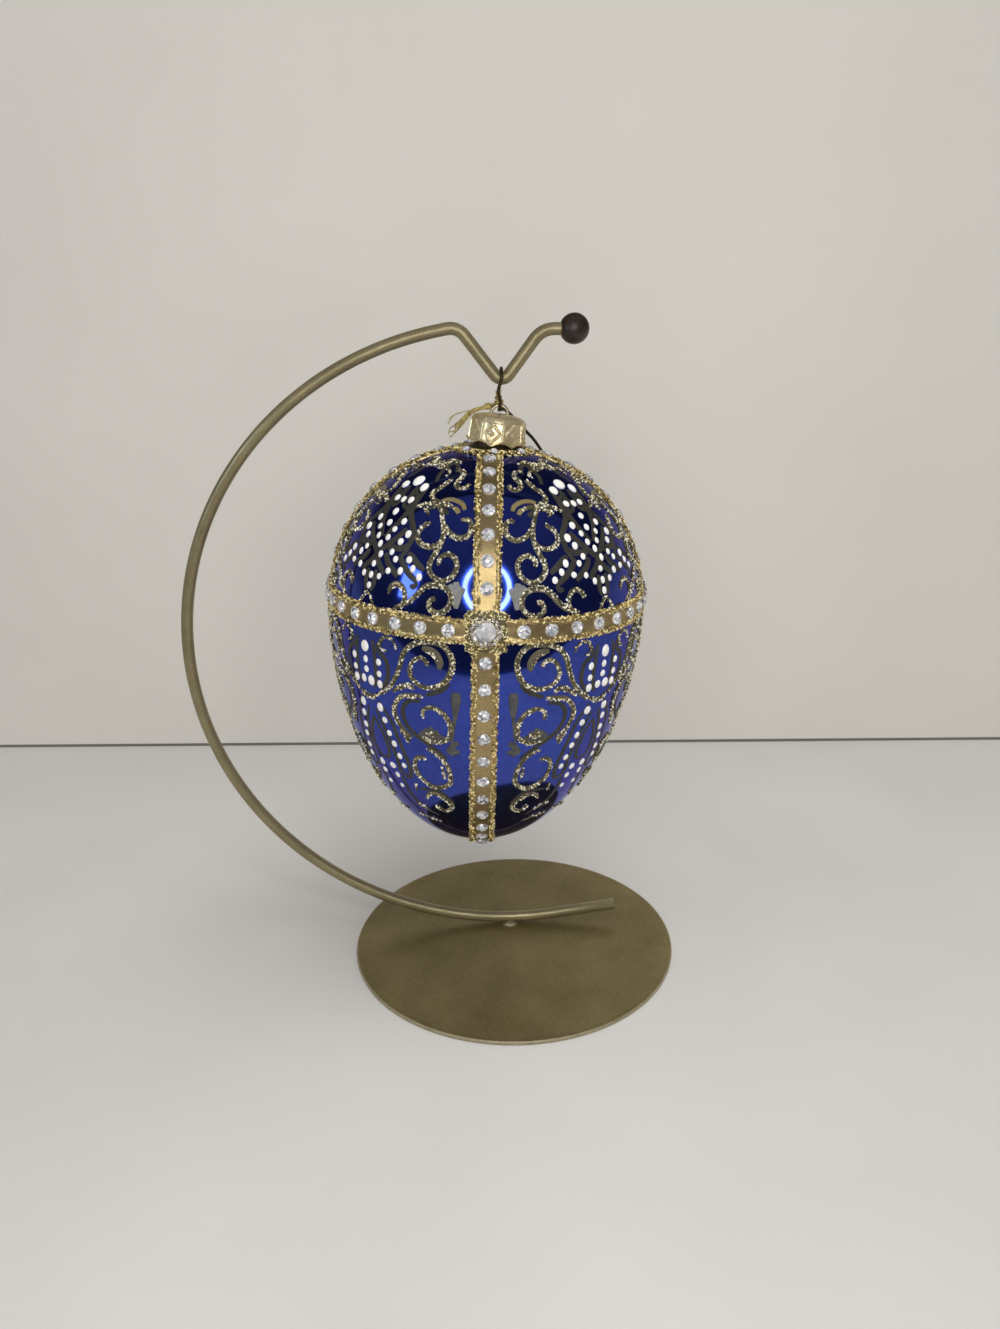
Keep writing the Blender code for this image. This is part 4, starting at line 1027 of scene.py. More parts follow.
    def build(self, paints: Paintbox) -> None:
        """Model, dress and place the stand."""
        path = np.array([tuple(p) for p in self.arm_path()])
        base = paints.dress(self.make_base(), "antique_gold_paint", "rim_highlight_and_wear")
        # The outermost faces of the rim get the lighter paint: painted highlight, partly wear.
        lit_and_worn_rim = polar(face_centres(base))[1] > self.base_radius - 0.32 * MM
        base.data.polygons.foreach_set("material_index", lit_and_worn_rim.astype(int))
        place_piece(base, Body.STAND, Slot.STAND_PAINT, "base_disc")
        end = (path[0] - path[1]) / np.linalg.norm(path[0] - path[1])
        path = np.vstack([path[0] + end * 0.25 * MM, path])
        radii = np.full(len(path), self.wire / 2)
        radii[0] *= 0.82
        arm = paints.dress(draw_wires("display_arm", [Wire(path, radii)], 7), "arm_gold_paint")
        place_piece(arm, Body.STAND, Slot.STAND_PAINT, "stand_arm")
        for place, side, seed in (("front", -1.0, 0.4), ("rear", 1.0, 2.1)):
            weld = paints.dress(self.make_weld("weld_" + place, side, seed), "arm_gold_paint")
            place_piece(weld, Body.STAND, Slot.STAND_PAINT, "weld_bead_" + place)
        ball = paints.dress(self.make_ball(), "brown_ball")
        place_piece(ball, Body.STAND, Slot.BALL, "ball_finial")


# The hook

@dataclass
class WireHook:
    """Thin dark wire over the arm, with its long tail behind the cap."""

    wire: float = 0.85 * MM
    over: float = (3.1 / 2 + 0.3 + 0.12 + 0.85 / 2) * MM
    start: float = math.radians(-40.0)
    seat: tuple = (-0.7, 0.0, -7.6)
    bends: tuple = ((-0.25, -2.1, 4.6), (0.2, -1.6, 2.4), (0.1, -0.9, 0.55), (0.0, 0.0, 0.0),
                    (1.0, 1.9, 0.0), (2.4, 6.4, -1.05), (4.8, 9.3, -3.65), (7.4, 11.7, -6.55),
                    (9.6, 14.5, -9.05), (11.9, 18.0, -12.45))

    def build(self, paints: Paintbox) -> None:
        """Draw, dress and place the hook."""
        turns = [self.start + (math.pi - self.start) * i / 24 for i in range(25)]
        loop = [(-0.1 * MM, self.over * math.cos(a), self.over * math.sin(a)) for a in turns]
        bends = np.array(self.seat) * MM + np.array(self.bends) * MM
        tail = smooth_path(np.vstack([loop[-1], bends]), 8)
        path = np.vstack([np.array(loop[:-1]), tail]) + np.array(HOOK_SPOT)
        radii = np.full(len(path), self.wire / 2)
        radii[[0, -1]] *= 0.7
        hook = paints.dress(draw_wires("hanging_hook", [Wire(path, radii)], 4), "dark_bronze")
        place_piece(hook, Body.HOOK, Slot.BRONZE, "wire_hook")


# The hanger

@dataclass
class Hanger:
    """Crown cap, its spring loop and the gold cord tie."""

    top_radius: float = 6.7 * MM
    base_radius: float = 7.1 * MM
    height: float = 7.6 * MM
    wall: float = 0.4 * MM
    panels: int = 8
    turn: float = math.radians(-11.5)
    teeth: float = 1.35 * MM
    drop: float = (0.85 / 2 + 0.1 + 0.3) * MM
    columns: int = 44
    rows: int = 60
    loop_radius: float = 2.1 * MM
    loop_top: float = (0.85 / 2 + 0.3 + 0.4) * MM
    leg: float = 10.5 * MM
    leg_drop: float = 5.5 * MM
    leg_spread: float = 3.4 * MM

    def relief(self, across: np.ndarray, up: np.ndarray) -> np.ndarray:
        """Pressed relief of a panel: ribs, a diamond and a bead.

        Args:
            across: Place in the panel from -1 to 1.
            up: Height share, 0 at the teeth and 1 at the shoulder.

        Returns:
            How far each point stands out, in metres.
        """
        edge = np.clip((np.abs(across) - 0.82) / 0.14, 0, 1)
        rib = np.sin(edge * math.pi / 2) ** 2 * 0.40
        span = np.abs(across) / 0.72 + np.abs(up - 0.52) / 0.38
        line = np.clip(1.4 - np.abs(span - 1.0) / 0.15, 0, 1) * 0.30
        bead = np.exp(-((across / 0.15) ** 2 + ((up - 0.52) / 0.065) ** 2)) * 0.38
        low = np.clip(1.5 - np.abs(up - 0.07) / 0.025, 0, 1) * 0.14
        high = np.clip(1.5 - np.abs(up - 0.95) / 0.025, 0, 1) * 0.12
        fade = np.clip((1.02 - up) / 0.05, 0, 1) * np.clip(up / 0.05, 0, 1)
        return (rib + (line + bead) * (edge < 0.5) + low + high) * fade * MM

    def make_cap(self) -> bpy.types.Object:
        """Crown cap pressed from thin sheet."""
        profile = [(0.0, 0.0), (1.2 * MM, -0.02 * MM), (2.4 * MM, -0.09 * MM),
                   (3.6 * MM, -0.22 * MM), (4.7 * MM, -0.42 * MM), (5.5 * MM, -0.62 * MM),
                   (6.0 * MM, -0.78 * MM), (6.35 * MM, -0.98 * MM), (6.55 * MM, -1.25 * MM)]
        start = -1.6 * MM
        fall = -self.height - start
        for share in np.arange(self.rows + 1) / self.rows:
            profile.append((self.top_radius + (self.base_radius - self.top_radius) * share,
                            start + fall * share))
        piece = turned_grid("crown_cap", profile, self.panels * self.columns)
        points = read_points(piece)
        angle, radius = polar(points)
        up = 1 - (points[:, 2] - start) / fall
        side = points[:, 2] < start + 1e-9
        across = 2 * ((angle / (2 * math.pi) * self.panels) % 1.0) - 1
        near = np.clip((radius - 5.5 * MM) / (1.1 * MM), 0, 1) * ~side
        ribs = near * np.clip((np.abs(across) - 0.80) / 0.16, 0, 1) * 0.2 * MM
        radius = radius + (np.where(side, self.relief(across, up), 0.0) + ribs)
        tooth = np.abs(across) ** 1.15
        lift = np.where(side, np.clip(1 - up / 0.16, 0, 1) * tooth * self.teeth, 0.0)
        turned = angle + self.turn + math.pi / self.panels - math.pi / 2
        write_points(piece, on_circle(radius, turned, points[:, 2] + lift - self.drop))
        tidy_mesh(piece, 40.0)
        apply_modifier(piece, "SOLIDIFY", thickness=self.wall * 0.6, offset=-1.0)
        tidy_mesh(piece, 40.0)
        move_into(piece, CAP_FRAME)
        return piece

    def make_loop(self) -> bpy.types.Object:
        """Sprung wire through the cap, legs spread inside the neck."""
        radius = self.loop_radius
        middle = self.loop_top - radius
        left = [(-radius - self.leg_spread * out, 0.0, middle - self.leg - self.leg_drop * down)
                for out, down in ((1.0, 1.0), (0.7, 0.8), (0.3, 0.45), (0.05, 0.15), (0.0, 0.0))]
        turns = [math.pi * i / 24 for i in range(25)]
        arch = [(-radius * math.cos(a), 0.0, middle + radius * math.sin(a)) for a in turns]
        right = [(-x, y, z) for x, y, z in reversed(left)]
        path = np.array(left + arch + right)
        piece = draw_wires("cap_loop", [Wire(path, 0.4 * MM)], 4)
        move_into(piece, CAP_FRAME)
        return piece

    def thread(self, path: np.ndarray, offset: float, phase: float, turns: float,
               flare: float) -> np.ndarray:
        """One strand laid round a path, spreading towards its end."""
        ahead = unit(np.gradient(path, axis=0))
        side = unit(np.cross(ahead, (0.0, 1.0, 0.3)))
        share = np.linspace(0.0, 1.0, len(path))
        angle = phase + 2 * math.pi * turns * share
        reach = offset * (0.75 + flare * share ** 3)
        across, over = np.cos(angle) * reach, np.sin(angle) * reach
        return path + across[:, None] * side + over[:, None] * np.cross(side, ahead)

    def knot(self, middle: np.ndarray, size: np.ndarray, turns: int, lean: float) -> np.ndarray:
        """Thread wound round and round into a knot."""
        share = np.linspace(0.0, 1.0, turns * 22)
        angle = 2 * math.pi * turns * share
        tip = lean * np.sin(angle * 0.37) + math.pi * share
        return middle + on_circle(np.sin(tip), angle, np.cos(tip)) * size

    def make_tie(self) -> bpy.types.Object:
        """Two knots, a short tuft and the frayed end that lies over the cap."""
        draws = np.random.default_rng(11)
        seat = np.array(SEAT_SPOT)
        bends = np.array(((-0.5, 1.3, 1.7), (-1.2, 1.45, 1.25), (-1.95, 1.4, 0.9),
                          (-2.9, 1.1, 0.7), (-3.8, 0.8, 0.6), (-4.8, 0.5, 0.4), (-6.3, 0.0, 0.0),
                          (-7.6, -0.5, -0.8), (-8.9, -1.0, -2.1), (-10.1, -1.5, -3.25),
                          (-11.6, -2.0, -4.5), (-13.2, -2.5, -5.6))) * MM
        first = seat + np.array((-0.1 * MM, 0.95 * MM, self.loop_top + 1.0 * MM))
        second = seat + np.array((-2.7, 1.15, 0.85)) * MM
        wires = [Wire(self.knot(first, np.array((1.0, 0.85, 1.25)) * MM, 7, 0.35), 0.27 * MM),
                 Wire(self.knot(second, np.array((1.1, 0.72, 0.66)) * MM, 6, 0.6), 0.25 * MM)]
        path = seat + smooth_path(bends, 8)
        for k in range(9):
            strand = self.thread(path, 0.36 * MM, k * 2 * math.pi / 9, 3.2, 2.1)
            cut = int(len(strand) * draws.uniform(0.86, 1.0))
            radii = np.full(cut, 0.16 * MM)
            radii[-1] *= 0.5
            wires.append(Wire(strand[:cut], radii))
        for k in range(8):
            out = np.array((draws.uniform(-1.1, 0.9), draws.uniform(-0.6, 0.7), 0.0)) * MM
            top = first + out + np.array((0.0, 0.0, draws.uniform(2.0, 3.0))) * MM
            run = smooth_path(np.array([first, first + (top - first) * 0.5 + out * 0.15, top]), 4)
            wires.append(Wire(run, 0.14 * MM))
        for end in ((-12.6, -1.2, -1.9), (-13.0, -1.6, -3.2)):
            run = np.array(((-6.3, 0.0, 0.2), (-9.0, -0.5, -0.3), (-11.3, -0.9, -1.0), end)) * MM
            wires.append(Wire(seat + smooth_path(run, 6), 0.13 * MM))
        return draw_wires("tie_cord", wires, 2)

    def build(self, paints: Paintbox) -> None:
        """Model, dress and place the hanger."""
        cap = paints.dress(self.make_cap(), "pressed_gold")
        place_piece(cap, Body.HANGER, Slot.CAP, "cap_crown")
        loop = paints.dress(self.make_loop(), "plain_spring_steel")
        place_piece(loop, Body.HANGER, Slot.STEEL, "cap_spring_loop")
        tie = paints.dress(self.make_tie(), "gold_thread")
        place_piece(tie, Body.HANGER, Slot.CORD, "cord_tie")


# The glass

@dataclass
class GlassEgg:
    """Blown egg with its open neck, under cobalt lacquer."""

    form: EggForm
    wall: float = 1.0 * MM
    neck: float = 5.0 * MM
    neck_height: float = 5.2 * MM
    fillet: float = 1.2 * MM

    def outline(self) -> list[tuple[float, float]]:
        """Profile from the narrow end up, over the neck and back down inside."""
        form = self.form
        rows = [(0.0, -form.bottom)]
        for i in range(1, 72):
            turn = math.pi / 2 * (1 - i / 72)
            z = -form.bottom * math.sin(turn) ** (2 / form.flank_power)
            rows.append((float(form.radius(z)), z))
        for i in range(53):
            z = form.top * math.sin(math.radians(79.0) * i / 52) ** (2 / form.top_power)
            rows.append((float(form.radius(z)), z))
        level = form.shoulder(self.neck + self.fillet)
        for i in range(9):
            turn = math.pi / 2 * i / 8
            rows.append((self.neck + self.fillet * (1 - math.sin(turn)),
                         level + self.fillet * (1 - math.cos(turn))))
        rim = form.top + self.neck_height - 0.05 * MM
        bore = self.neck - self.wall
        rows += [(self.neck, rim - 0.3 * MM), (self.neck - 0.3 * MM, rim), (bore + 0.3 * MM, rim),
                 (bore, rim - 0.3 * MM), (bore, level)]
        top = form.top - self.wall
        for i in range(24, -1, -1):
            z = top * math.sin(math.radians(80.0) * i / 24) ** (2 / form.top_power)
            rows.append((float(form.radius(z * form.top / top)) - self.wall, z))
        for i in range(23, 0, -1):
            turn = math.pi / 2 * (1 - i / 24)
            z = -(form.bottom - self.wall) * math.sin(turn) ** (2 / form.flank_power)
            rows.append((max(float(form.radius(z)) - self.wall, 0.3 * MM), z))
        rows.append((0.0, -form.bottom + self.wall))
        return rows

    def build(self, paints: Paintbox) -> None:
        """Turn, dress and place the glass."""
        glass = turned_grid("egg_shell", self.outline(), 176)
        tidy_mesh(glass, 50.0)
        mount(paints.dress(glass, "blue_lacquer"), Slot.GLASS, "glass_egg")


# The trim

SIDES = (("front", -90.0), ("right", 0.0), ("back", 90.0), ("left", 180.0))


@dataclass
class Trim:
    """Gold strips, rosettes, stones and the ring under the cap."""

    form: EggForm
    paints: Paintbox
    grain: bpy.types.Object
    width: float = 6.2 * MM
    round_width: float = 5.6 * MM
    rim: float = 1.15 * MM
    face: float = 0.42 * MM
    rim_height: float = 0.62 * MM
    pitch: float = 6.4 * MM
    room: float = 4.3 * MM
    collar_inner: float = 8.3 * MM
    collar_width: float = 2.0 * MM
    rosette_half: float = 5.0 * MM
    ring_radius: float = 2.85 * MM
    ring_wire: float = 0.5 * MM
    crystal_radius: float = 2.4 * MM
    strip_grains: float = 4.6e6
    rosette_grains: float = 4.8e6
    ring_flakes: float = 4.5e6
    collar_grains: float = 6.0e6

    def make_stone(self, diameter: float, height: float) -> bpy.types.Object:
        """One cut stone at the origin: girdle, crown facets and table."""
        sides = 12
        stone = primitive(bpy.ops.mesh.primitive_cylinder_add, "stone_pattern", vertices=sides,
                          radius=diameter / 2, depth=height * 0.5,
                          location=(0.0, 0.0, height * 0.25))
        open_edit(stone)
        select_faces(stone, lambda middle, normal: normal.z > 0.9)
        bpy.ops.mesh.inset(thickness=diameter * 0.13, depth=height * 0.28)
        bpy.ops.transform.rotate(value=math.pi / sides, orient_axis="Z",
                                 center_override=(0.0, 0.0, height * 0.78))
        bpy.ops.mesh.inset(thickness=diameter * 0.14, depth=height * 0.2)
        close_edit()
        apply_modifier(stone, "TRIANGULATE")
        return stone

    def set_stones(self, name: str, pattern: bpy.types.Object, spots: np.ndarray,
                   height: float) -> None:
        """Place copies of a stone on the glass, as one piece.

        Args:
            name: Name of the joined piece.
            pattern: The stone at the origin.
            spots: Points of the glass, in the egg's frame.
            height: Height of the stones' feet over the glass.
        """
        frames = [frame_on(foot, normal, height) @ Matrix.Rotation(0.7 * index, 4, "Z")
                  for index, (foot, normal) in enumerate(zip(*self.form.foot(spots)))]
        stones = self.paints.dress(join_copies(name, pattern, frames), "foiled_crystal")
        mount(stones, Slot.CRYSTAL)

    def section(self, width: float) -> list[tuple[float, float]]:
        """Section of a strip as a ring of (offset, height): soft rims beside a flat face."""
        edge = width / 2
        inner = edge - self.rim
        low = 0.02 * MM
        rise = self.rim_height - low
        rim = [(edge - self.rim * (1 - math.cos(math.pi * i / 6)) / 2,
                low + rise * math.sin(math.pi * (i + 0.9) / 8)) for i in range(6)]
        right = [(edge, low)] + rim + [(inner, self.face), (inner * 0.5, self.face + 0.03 * MM)]
        left = [(-x, h) for x, h in reversed(right)]
        return right + [(0.0, self.face + 0.04 * MM)] + left + [(0.0, low), (edge, low)]

    def make_strip(self, name: str, path: np.ndarray, width: float,
                   seed: int) -> tuple[bpy.types.Object, np.ndarray]:
        """Strip along a path on the glass.

        Args:
            name: Name of the piece.
            path: Points of the glass, in the egg's frame, already trimmed.
            width: Width over both rims.
            seed: Seed for the rims' unevenness.

        Returns:
            The strip, in the egg's frame, and which of its faces are rims.
        """
        feet, out = self.form.foot(even_path(path, 0.7 * MM))
        side = np.cross(out, unit(np.gradient(feet, axis=0)))
        section = np.array(self.section(width))
        count = len(feet) - 1
        piece, column, row = make_grid(name, count, len(section) - 1)
        row %= len(section) - 1
        offset, height = section[row].T
        draws = np.random.default_rng(seed)
        wave = np.convolve(draws.normal(size=count + 9), np.ones(3) / 3, "same")[column]
        rough = draws.normal(size=(count + 1, len(section)))[column, row]
        on_rim = np.abs(offset) > width / 2 - self.rim + 0.05 * MM
        height = height + np.where(on_rim & (height > 0.1 * MM), rough * 0.06 * MM, 0)
        offset = offset + np.sign(offset) * on_rim * (wave * 0.10 * MM + rough * 0.03 * MM)
        self.form.lay(piece, feet[column] + side[column] * offset[:, None], height)
        close_holes(piece)
        tidy_mesh(piece, 60.0)
        middles = face_centres(piece)
        nearest = np.argmin(((middles[:, None, :] - feet[None]) ** 2).sum(2), 1)
        off = np.abs(((middles - feet[nearest]) * side[nearest]).sum(1))
        return piece, off > width / 2 - self.rim

    def add_strip(self, name: str, path: np.ndarray, width: float, trims: tuple[float, float],
                  margins: tuple[float, float], stone: bpy.types.Object, seed: int) -> None:
        """Make one strip with its glitter and stones, dress it and place it.

        Args:
            name: What its pieces and its node are named after.
            path: Points of the glass along its middle.
            width: Width over both rims.
            trims: Length that is cut off at its start and end.
            margins: Distance from its start and end to the nearest stone.
            stone: The pattern of its stones.
            seed: Seed of its unevenness and its grains.
        """
        fineness = 0.1
        step = fineness * MM  # short, so that trims and stones fall on a point of the path
        fine = even_path(path, step)
        first, last = (int(round(t / step)) for t in trims)
        fine = fine[first:len(fine) - last]
        strip, rims = self.make_strip("band_" + name, fine, width, seed)
        grains = sprinkle("grains", strip, self.grain, self.strip_grains, seed, rims, 0.08 * MM)
        parts = [self.paints.dress(strip, "matte_gold_leaf"),
                 self.paints.dress(grains, "gold_glitter")]
        mount(join(parts, "band_" + name), Slot.TRIM, "strip_" + name)
        span = (len(fine) - 1) * fineness * MM - sum(margins)
        pitches = round(span / self.pitch)
        marks = [int(round((margins[0] + span * i / pitches) / step)) for i in range(pitches + 1)]
        self.set_stones("stones_" + name, stone, fine[marks], self.face - 0.05 * MM)

    def make_patch(self, centre: np.ndarray, side: np.ndarray, up: np.ndarray, seed: int,
                   draws: np.random.Generator) -> bpy.types.Object:
        """Ragged, nearly square patch of glue.

        Args:
            centre: Its middle on the glass.
            side: Direction to its right.
            up: Direction to its top.
            seed: Shift of its ragged edge.
            draws: Random draws of its unevenness.

        Returns:
            The patch, in the egg's frame.
        """
        radii = (0.0, 0.2, 0.4, 0.6, 0.75, 0.88, 0.96, 1.0, 1.0)
        heights = (0.45, 0.5, 0.58, 0.62, 0.62, 0.58, 0.45, 0.02, 0.0)
        patch = turned_grid("patch", list(zip(radii, heights)), 72)
        points = read_points(patch)
        angle, reach = polar(points)
        square = (np.abs(np.cos(angle)) ** 7 + np.abs(np.sin(angle)) ** 7) ** (-1 / 7)
        ragged = 1 + 0.035 * np.sin(9 * angle + seed) + 0.03 * np.sin(23 * angle)
        reach = reach * (1 + (square * ragged - 1) * reach) * self.rosette_half
        height = points[:, 2] * MM + draws.normal(size=len(points)) * 0.04 * MM
        across, over = reach * np.cos(angle), reach * np.sin(angle)
        self.form.lay(patch, centre + np.outer(across, side) + np.outer(over, up), height)
        tidy_mesh(patch, 60.0)
        close_holes(patch)
        tidy_mesh(patch, 60.0)
        return patch

    def make_ring(self, draws: np.random.Generator) -> bpy.types.Object:
        """Ring of crumpled foil at the origin."""
        ring = primitive(bpy.ops.mesh.primitive_torus_add, "ring", major_segments=112,
                         minor_segments=14, major_radius=self.ring_radius,
                         minor_radius=self.ring_wire)
        points = read_points(ring)
        angle, reach = polar(points)
        lump = 1 + 0.30 * np.abs(np.sin(8 * angle)) + 0.06 * draws.normal(size=len(points))
        reach = self.ring_radius + (reach - self.ring_radius) * lump
        write_points(ring, on_circle(reach, angle, points[:, 2] * lump))
        tidy_mesh(ring, 30.0)
        return ring

    def make_rosette(self, name: str, centre: np.ndarray, up: np.ndarray,
                     seed: int) -> bpy.types.Object:
        """Glitter patch with a ring of crumpled foil round the large stone."""
        centre, normal = (a[0] for a in self.form.foot(centre[None]))
        side = np.cross(up, normal)
        side /= np.linalg.norm(side)
        draws = np.random.default_rng(seed)
        patch = self.make_patch(centre, side, np.cross(normal, side), seed, draws)
        grains = sprinkle("grains", patch, self.grain, self.rosette_grains, seed, None, 0.08 * MM)
        ring = self.make_ring(draws)
        move_into(ring, frame_on(centre, normal, 0.72 * MM))
        flakes = sprinkle("flakes", ring, self.grain, self.ring_flakes, seed + 7)
        parts = ((patch, "rosette_glitter"), (grains, "rosette_glitter"),
                 (ring, "crumpled_foil"), (flakes, "silver_glitter"))
        return join([self.paints.dress(part, paint) for part, paint in parts], name)

    def make_large_stone(self, name: str, centre: np.ndarray) -> bpy.types.Object:
        """Large round stone, cut with many facets."""
        stone = primitive(bpy.ops.mesh.primitive_uv_sphere_add, name, segments=16,
                          ring_count=12, radius=self.crystal_radius, scale=(1.0, 1.0, 0.56))
        open_edit(stone, "VERT")
        keep_side(-0.15 * MM, above=True)
        keep_side(1.12 * MM, above=False)
        close_edit()
        apply_modifier(stone, "TRIANGULATE")
        foot, normal = (a[0] for a in self.form.foot(centre[None]))
        move_into(stone, frame_on(foot, normal, 0.85 * MM))
        return stone

    def add_rosette(self, place: str, spot: np.ndarray, up: np.ndarray, seed: int) -> None:
        """Make and place the rosette of one crossing, and its large stone."""
        mount(self.make_rosette("cross_" + place, spot, up, seed), Slot.TRIM, "rosette_" + place)
        stone = self.make_large_stone("crystal_" + place, spot)
        mount(self.paints.dress(stone, "clear_crystal"), Slot.CRYSTAL, "large_stone_" + place)

    def make_neck_painted_shade(self) -> bpy.types.Object:
        """Thin dark sheet on neck and shoulder, inside the collar: painted shade under the cap, in
        the colour of the glitter's glue.
        """
        over = ((5.2, 2.0), (5.2, 0.5), (5.7, 0.25), (6.5, 0.08), (7.5, 0.06), (8.6, 0.06))
        under = ((8.6, -0.05), (6.5, -0.05), (4.8, -0.05), (4.8, 2.0))
        rows = [(radius * MM, self.form.shoulder(radius * MM) + lift * MM)
                for radius, lift in over + under]
        # Painted shade under the cap: a thin dark sheet dressed in the glitter's glue colour.
        glue = turned_grid("glue", rows + rows[:1], 72)
        tidy_mesh(glue, 60.0)
        return self.paints.dress(glue, "gold_glitter")

    def add_collar(self, stone: bpy.types.Object) -> None:
        """Glitter ring and its stones just outside the cap."""
        middle = self.collar_inner + self.collar_width / 2
        rows = []
        for turn in math.pi * np.arange(13) / 12:
            radius = middle - math.cos(turn) * self.collar_width / 2
            foot = self.form.shoulder(radius) + 0.03 * MM
            rows.append((radius, foot + math.sin(turn) * 0.75 * MM))
        ring = turned_grid("collar_ring", rows + rows[:1], 144)
        points = read_points(ring)
        angle, radial = polar(points)
        wave = 0.05 * np.sin(17 * angle) + 0.04 * np.sin(41 * angle + 1)
        grown = radial + np.sign(radial - middle) * wave * MM
        points[:, :2] *= (grown / radial)[:, None]
        write_points(ring, points)
        tidy_mesh(ring, 60.0)
        grains = sprinkle("grains", ring, self.grain, self.collar_grains, 77, None, 0.02 * MM)
        parts = [self.paints.dress(part, "gold_glitter") for part in (ring, grains)]
        # The collar piece also carries the painted shade under the cap.
        mount(join(parts + [self.make_neck_painted_shade()], "collar_ring"), Slot.TRIM, "neck_collar")
        turns = -math.pi / 2 + 2 * math.pi * np.arange(8) / 8
        spots = on_circle(middle, turns, np.full(8, self.form.shoulder(middle)))
        self.set_stones("collar_stones", stone, spots, 0.55 * MM)

    def build(self) -> None:
        """Model, dress and place all the trim."""
        stone = self.make_stone(diameter=3.15 * MM, height=1.0 * MM)
        small = self.make_stone(diameter=2.1 * MM, height=0.9 * MM)
        edge = self.collar_inner + self.collar_width + 0.3 * MM
        rise = np.linspace(0.0, 90.0, 361)
        level = np.zeros(361)
        both = (self.room, self.room)
        for index, (side, azimuth) in enumerate(SIDES):
            upper, lower, around = (self.form.on_glass(np.stack(angles, -1)) for angles in (
                (azimuth + level, rise), (azimuth + level, -rise), (azimuth + rise, level)))
            upper = upper[polar(upper)[1] >= edge]
            self.add_strip("upper_" + side, upper, self.width, (self.room, 0.0),
                           (5.3 * MM, 2.9 * MM), stone, 10 + index)
            self.add_strip("lower_" + side, lower, self.width, both, (3.0 * MM, 4.0 * MM),
                           stone, 20 + index)
            self.add_strip("round_" + side, around, self.round_width, both,
                           (4.2 * MM, 4.2 * MM), stone, 30 + index)
            self.add_rosette(side, around[0], upper[1] - upper[0], 40 + index)
        pole = self.form.on_glass(np.array(((0.0, -90.0),)))[0]
        self.add_rosette("bottom", pole, np.array((0.0, 1.0, 0.0)), 49)
        self.add_collar(small)
        for pattern in (stone, small):
            bpy.data.objects.remove(pattern)


# The painted scrollwork

class Stroke(Enum):
    """How a painted line is laid.

    Each has its finish, its half widths along it in mm, the share of its height that is left
    when it is pressed onto the glass, and its lift over the glass in mm.
    """

    LINE = ("pale_glitter", (0.28, 0.40, 0.46, 0.46, 0.42, 0.36), 0.8, 0.06)
    PRINT = ("olive_gold_paint", (0.4, 0.62, 0.70, 0.70, 0.66, 0.55), 0.05, 0.03)
    FINE = ("pale_glitter", (0.18, 0.27, 0.32, 0.28, 0.22), 0.8, 0.05)
    LEAF = ("olive_gold_paint", (0.4, 0.9, 1.05, 0.95, 0.4), 0.10, 0.05)
    LOBE = ("leaf_gold_paint", (0.4, 0.62, 0.68, 0.62, 0.5), 0.16, 0.05)
    GREY_LOBE = ("grey_print", (0.5, 0.8, 0.95, 0.9, 0.6), 0.05, 0.02)
    DROP = ("speckled_print", (0.85, 1.3, 1.05, 0.5, 0.3, 0.26, 0.26, 0.26), 0.05, 0.02)
    TUFT = ("speckled_print", (0.85, 0.9, 0.8, 0.5), 0.05, 0.02)
    GLITTER_LEAF = ("pale_glitter", (0.3, 0.62, 0.7, 0.5, 0.25), 0.5, 0.06)
    SHADE = ("olive_shadow_paint", (0.4, 0.6, 0.65, 0.6, 0.4), 0.06, 0.01)
    NET = ("olive_shadow_paint", (0.55, 0.78, 0.82, 0.78, 0.55), 0.06, 0.01)

    def __init__(self, paint: str, widths: tuple[float, ...], flatness: float,
                 lift: float) -> None:
        """Keep the values under their names."""
        self.paint = paint
        self.widths = widths
        self.flatness = flatness
        self.lift = lift * MM

    def radii(self, share: np.ndarray) -> np.ndarray:
        """Half widths in metres at shares of the line's length."""
        marks = np.linspace(0, 1, len(self.widths))
        return np.interp(share, marks, np.array(self.widths) * MM)


@dataclass(frozen=True)
class Panel:
    """One design, mirrored about the middle of its panel.

    Strokes are (kind, points), points are degrees (azimuth from the panel's middle, elevation).
    """

    name: str
    strokes: tuple[tuple[Stroke, Angles], ...]
    middle_strokes: tuple[tuple[Stroke, Angles], ...]
    dots: tuple[tuple[float, float, float], ...]


